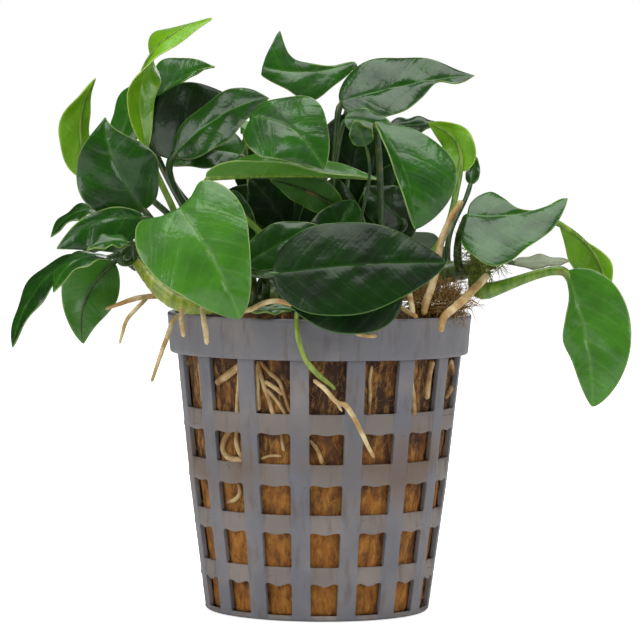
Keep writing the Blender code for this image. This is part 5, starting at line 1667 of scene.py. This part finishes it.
@dataclass
class WoolPlug:
    """The plug of stone wool that fills the pot, with the roots pressed against the wall."""

    pot: NetPot
    gap: float = 0.3
    side_top: float = 44.6
    mound: float = 49.6
    strew: bpy.types.NodeTree | None = None

    def wool_radius(self, height: float) -> float:
        """Return the plug's radius at a height."""
        return float(self.pot.radius(np.array(height))) - self.pot.wall - self.gap

    def surface(self) -> bpy.types.Object:
        """Return the plug's lumpy skin, from its flat underside to the mound on top."""
        steps = 200
        profile = [(share * (self.wool_radius(1.1) - 0.3), 0.8) for share in (0.35, 0.7, 1.0)]
        heights = np.linspace(1.2, self.side_top, 96)
        profile += [(self.wool_radius(height), height) for height in heights]
        crown = np.linspace(1.0, 0.0, 30)[1:-1]
        edge = self.wool_radius(self.side_top)
        for share in crown:
            rise = (self.mound - self.side_top) * float(smoothstep(1.0, 0.45, np.array(share)))
            profile.append((edge * share, self.side_top + rise))
        places = [(0.0, 0.0, 0.8)]
        for step in range(steps):
            turn = TURN * step / steps
            for radius, height in profile:
                place = Vector((radius * math.sin(turn), -radius * math.cos(turn), height))
                lump = noise.fractal(place * 0.4, 0.9, 2.1, 4)
                streak = noise.noise(Vector((place.x * 2.2, place.y * 2.2, place.z * 0.6)))
                top = float(smoothstep(self.side_top - 1.0, self.side_top + 1.0, np.array(height)))
                stray = 0.16 * lump + 0.1 * streak - 0.02
                wide = radius + (stray if height > 1.3 else 0.0)
                places.append((wide * math.sin(turn), -wide * math.cos(turn),
                               height + top * 0.9 * lump))
        places.append((0.0, 0.0, self.mound))
        count = len(profile)
        last = len(places) - 1
        faces = []
        for step in range(steps):
            after = (step + 1) % steps
            here, there = 1 + step * count, 1 + after * count
            faces.append((0, there, here))
            for row in range(count - 1):
                faces.append((here + row, there + row, there + row + 1, here + row + 1))
            faces.append((here + count - 1, there + count - 1, last))
        return mesh_object("stone_wool_plug", np.array(places), faces)

    def wall_roots(self, roots: RootWork, finish: bpy.types.Material) -> bpy.types.Object:
        """Return the roots that show behind the windows, pressed between wool and wall."""
        strands = []
        for number, (spots, radius) in enumerate(WALL_ROOTS):
            places = []
            for x, height in spots:
                depth = self.wool_radius(height) + 0.45 * radius
                places.append((x, -math.sqrt(max(depth ** 2 - x ** 2, 0.0)), height))
            radii = [radius] * len(places)
            strands.append(Strand(f"wall_root_{number}", tuple(places), tuple(radii)))
        return roots.strand_piece("wall_roots", tuple(strands), finish, wobble=0.1)

    def build(self, roots: RootWork, wool: bpy.types.Material, fibre: bpy.types.Material,
              root_finish: bpy.types.Material) -> None:
        """Build the plug, its loose fibres and the roots round it, and hand them over."""
        plug = self.surface()
        plug.data.materials.append(wool)
        shape = fibre_shape("wool_fibre_shape", 2.2, 0.035, 0.25)
        fibres = plug.copy()
        fibres.data = plug.data.copy()
        fibres.name = "wool_fibres"
        bpy.context.scene.collection.objects.link(fibres)
        run_tree(fibres, self.strew, {"Fibre": shape, "Density": 0.7e6, "Seed": 4, "Smallest": 0.5,
                                      "Largest": 1.3, "Outward": 0.12, "Upward": 0.8,
                                      "Spread": 0.75, "Finish": fibre})
        bpy.data.objects.remove(shape)
        hand_over(plug, "stone_wool", "wool_plug")
        hand_over(fibres, "stone_wool")
        hand_over(self.wall_roots(roots, root_finish), "root")


# ---------------------------------------------------------------- moss
@dataclass
class MossTuft:
    """Moss threads and old brown fibres at the right of the crown."""

    strew: bpy.types.NodeTree

    def lump(self, name: str, centre: Vector, size: Place) -> bpy.types.Object:
        """Return a plain lump that threads are strewn over."""
        bpy.ops.mesh.primitive_uv_sphere_add(segments=24, ring_count=16, radius=1.0)
        lump = bpy.context.active_object
        lump.name = name
        for vert in lump.data.vertices:
            vert.co = Vector([vert.co[axis] * size[axis] * MM + centre[axis] for axis in range(3)])
        return lump

    def build(self, moss: bpy.types.Material, old: bpy.types.Material) -> None:
        """Build the tuft and the brown fibres round it and hand them over."""
        low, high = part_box("moss_tuft")
        centre = (low + high) / 2.0
        shape = fibre_shape("moss_thread_shape", 3.2, 0.07, 0.8)
        tuft = self.lump("moss_threads", centre, (1.5, 1.3, 4.2))
        run_tree(tuft, self.strew, {"Fibre": shape, "Density": 9e6, "Seed": 11, "Smallest": 0.5,
                                    "Largest": 1.4, "Outward": 0.5, "Upward": 0.1, "Spread": 0.9,
                                    "Finish": moss})
        hand_over(tuft, "moss", "moss_tuft")
        mat = self.lump("old_brown_fibres", centre + Vector((-7.5, -2.0, -8.4)) * MM,
                        (4.2, 4.4, 1.2))
        run_tree(mat, self.strew, {"Fibre": shape, "Density": 8e6, "Seed": 12, "Smallest": 0.5,
                                   "Largest": 1.3, "Outward": 0.5, "Upward": 0.1, "Spread": 0.9,
                                   "Finish": old})
        hand_over(mat, "moss")
        bpy.data.objects.remove(shape)


# ---------------------------------------------------------------- studio
@dataclass(frozen=True)
class SoftBox:
    """A square area light."""

    name: str
    place: Place
    width: float
    power: float


@dataclass
class Studio:
    """Pale floor, even white surroundings, soft lights and the camera."""

    boxes: tuple[SoftBox, ...] = (
        SoftBox("overhead_softbox", (0.0, -0.16, 0.75), 0.6, 4.2),
        SoftBox("left_softbox", (-0.66, -0.5, 0.36), 0.5, 2.7),
        SoftBox("right_softbox", (0.68, -0.46, 0.34), 0.45, 2.0),
        SoftBox("back_softbox", (0.15, 0.7, 0.4), 0.5, 2.0),
    )
    even_light: float = 0.2
    gloss_light: float = 0.03
    camera_place: Place = (0.000115, -0.608, 0.0785)
    camera_pitch: float = 2.91
    camera_roll: float = 0.5
    lens: float = 208.0

    def build(self) -> None:
        """Set up the floor, the world, the lights and the camera."""
        self.add_floor()
        self.add_world()
        centre = (CAD_BOX[0] + CAD_BOX[1]) / 2.0
        for box in self.boxes:
            self.add_box(box, centre)
        self.add_camera()

    def add_floor(self) -> None:
        """Lay a plain pale floor under the pot."""
        bpy.ops.mesh.primitive_plane_add(size=8.0, location=(0.0, 0.0, CAD_BOX[0].z - 0.0002))
        floor = bpy.context.active_object
        floor.name = "pale_floor"
        material, tree, shader = new_material("matt_white_paper")
        shader.inputs["Base Color"].default_value = (0.93, 0.93, 0.93, 1.0)
        shader.inputs["Roughness"].default_value = 0.9
        shader.inputs["Specular IOR Level"].default_value = 0.1
        shader.inputs["Emission Color"].default_value = (1.0, 1.0, 1.0, 1.0)
        path = add_node(tree, "ShaderNodeLightPath")
        glow = add_node(tree, "ShaderNodeMath", {"operation": "MULTIPLY", 1: 0.85},
                        {0: path.outputs["Is Camera Ray"]})
        tree.links.new(glow.outputs[0], shader.inputs["Emission Strength"])
        floor.data.materials.append(material)

    def add_world(self) -> None:
        """Surround the scene with white that shows bright but lights softly."""
        world = bpy.data.worlds.new("white_surroundings")
        world.use_nodes = True
        tree = world.node_tree
        tree.nodes.clear()
        path = add_node(tree, "ShaderNodeLightPath")
        soft = add_node(tree, "ShaderNodeMapRange",
                        {"To Min": self.gloss_light, "To Max": self.even_light},
                        {"Value": path.outputs["Is Diffuse Ray"]})
        strength = add_node(tree, "ShaderNodeMapRange", {"To Max": 1.0},
                            {"Value": path.outputs["Is Camera Ray"], "To Min": soft.outputs[0]})
        back = add_node(tree, "ShaderNodeBackground", {"Color": (1.0, 1.0, 1.0, 1.0)},
                        {"Strength": strength.outputs[0]})
        add_node(tree, "ShaderNodeOutputWorld", links={"Surface": back.outputs[0]})
        bpy.context.scene.world = world

    def add_box(self, box: SoftBox, centre: Vector) -> None:
        """Add a softbox that faces the plant."""
        light = bpy.data.lights.new(box.name, "AREA")
        light.shape = "SQUARE"
        light.size = box.width
        light.energy = box.power
        holder = bpy.data.objects.new(box.name, light)
        holder.location = box.place
        holder.rotation_mode = "QUATERNION"
        holder.rotation_quaternion = (centre - holder.location).to_track_quat("-Z", "Y")
        bpy.context.scene.collection.objects.link(holder)

    def add_camera(self) -> None:
        """Add the long-lens camera, almost level, with a slight roll."""
        lens = bpy.data.cameras.new("camera")
        lens.lens = self.lens
        lens.clip_start, lens.clip_end = 0.01, 20.0
        camera = bpy.data.objects.new("camera", lens)
        camera.location = self.camera_place
        camera.rotation_mode = "QUATERNION"
        level = Euler((math.radians(90.0 - self.camera_pitch), 0.0, 0.0)).to_quaternion()
        camera.rotation_quaternion = level @ Quaternion((0.0, 0.0, 1.0),
                                                        math.radians(self.camera_roll))
        bpy.context.scene.collection.objects.link(camera)
        bpy.context.scene.camera = camera
        bpy.context.scene.view_settings.view_transform = "Standard"


# ---------------------------------------------------------------- all of it
def main() -> None:
    """Build the plant, the pot and the studio."""
    logging.basicConfig(level=logging.INFO, format="%(message)s")
    Studio().build()
    blades = {tone: tone.value.make() for tone in Tone}
    light_stalk = FleshyStem("young_leaf_stalk_skin", "#7f9f34", "#4f7a1c").make()
    # the old stalks' darker greens are partly their own colour and partly painted shade, darkened for
    # stalks hidden inside the crown
    dark_stalk = FleshyStem("old_leaf_stalk_skin", "#35561a", "#1d3a0e").make()
    stalks = {tone: light_stalk if tone in (Tone.FRESH, Tone.LIME) else dark_stalk
              for tone in Tone}
    root_finish = RootSkin("corky_root_skin", "#dcc998", "#b08a4e").make()
    strand_finishes = {
        StrandKind.ROOT: root_finish,
        StrandKind.STEM: FleshyStem("creeping_stem_skin", "#5d7434", "#37491c").make(),
        StrandKind.SHEATH: FleshyStem("young_sheath_skin", "#9aa33c", "#6f8527").make(),
    }
    runner = FleshyStem("green_runner_skin", "#97a83c", "#74902c").make()
    for name, leaves in (("left shoot", LEFT_SHOOT), ("middle shoot", MIDDLE_SHOOT),
                         ("right shoot", RIGHT_SHOOT), ("back shoot", BACK_SHOOT),
                         ("crown", CROWN_LEAVES)):
        Shoot(name, leaves).build(blades, stalks)
    roots = RootWork()
    roots.build(strand_finishes, runner)
    pot = NetPot()
    pot.build(PotPlastic().make())
    strew = scatter_tree()
    fibre = ThreadFinish("loose_wool_fibre", "#c08a3e", "#3c210a").make()
    WoolPlug(pot, strew=strew).build(roots, StoneWool().make(), fibre,
                                     RootSkin("buried_root_skin", "#c3a876", "#86602f").make())
    MossTuft(strew).build(ThreadFinish("moss_thread", "#93a03a", "#34480f").make(),
                          ThreadFinish("old_plant_fibre", "#c39a50", "#553512").make())


if __name__ == "__main__":
    main()
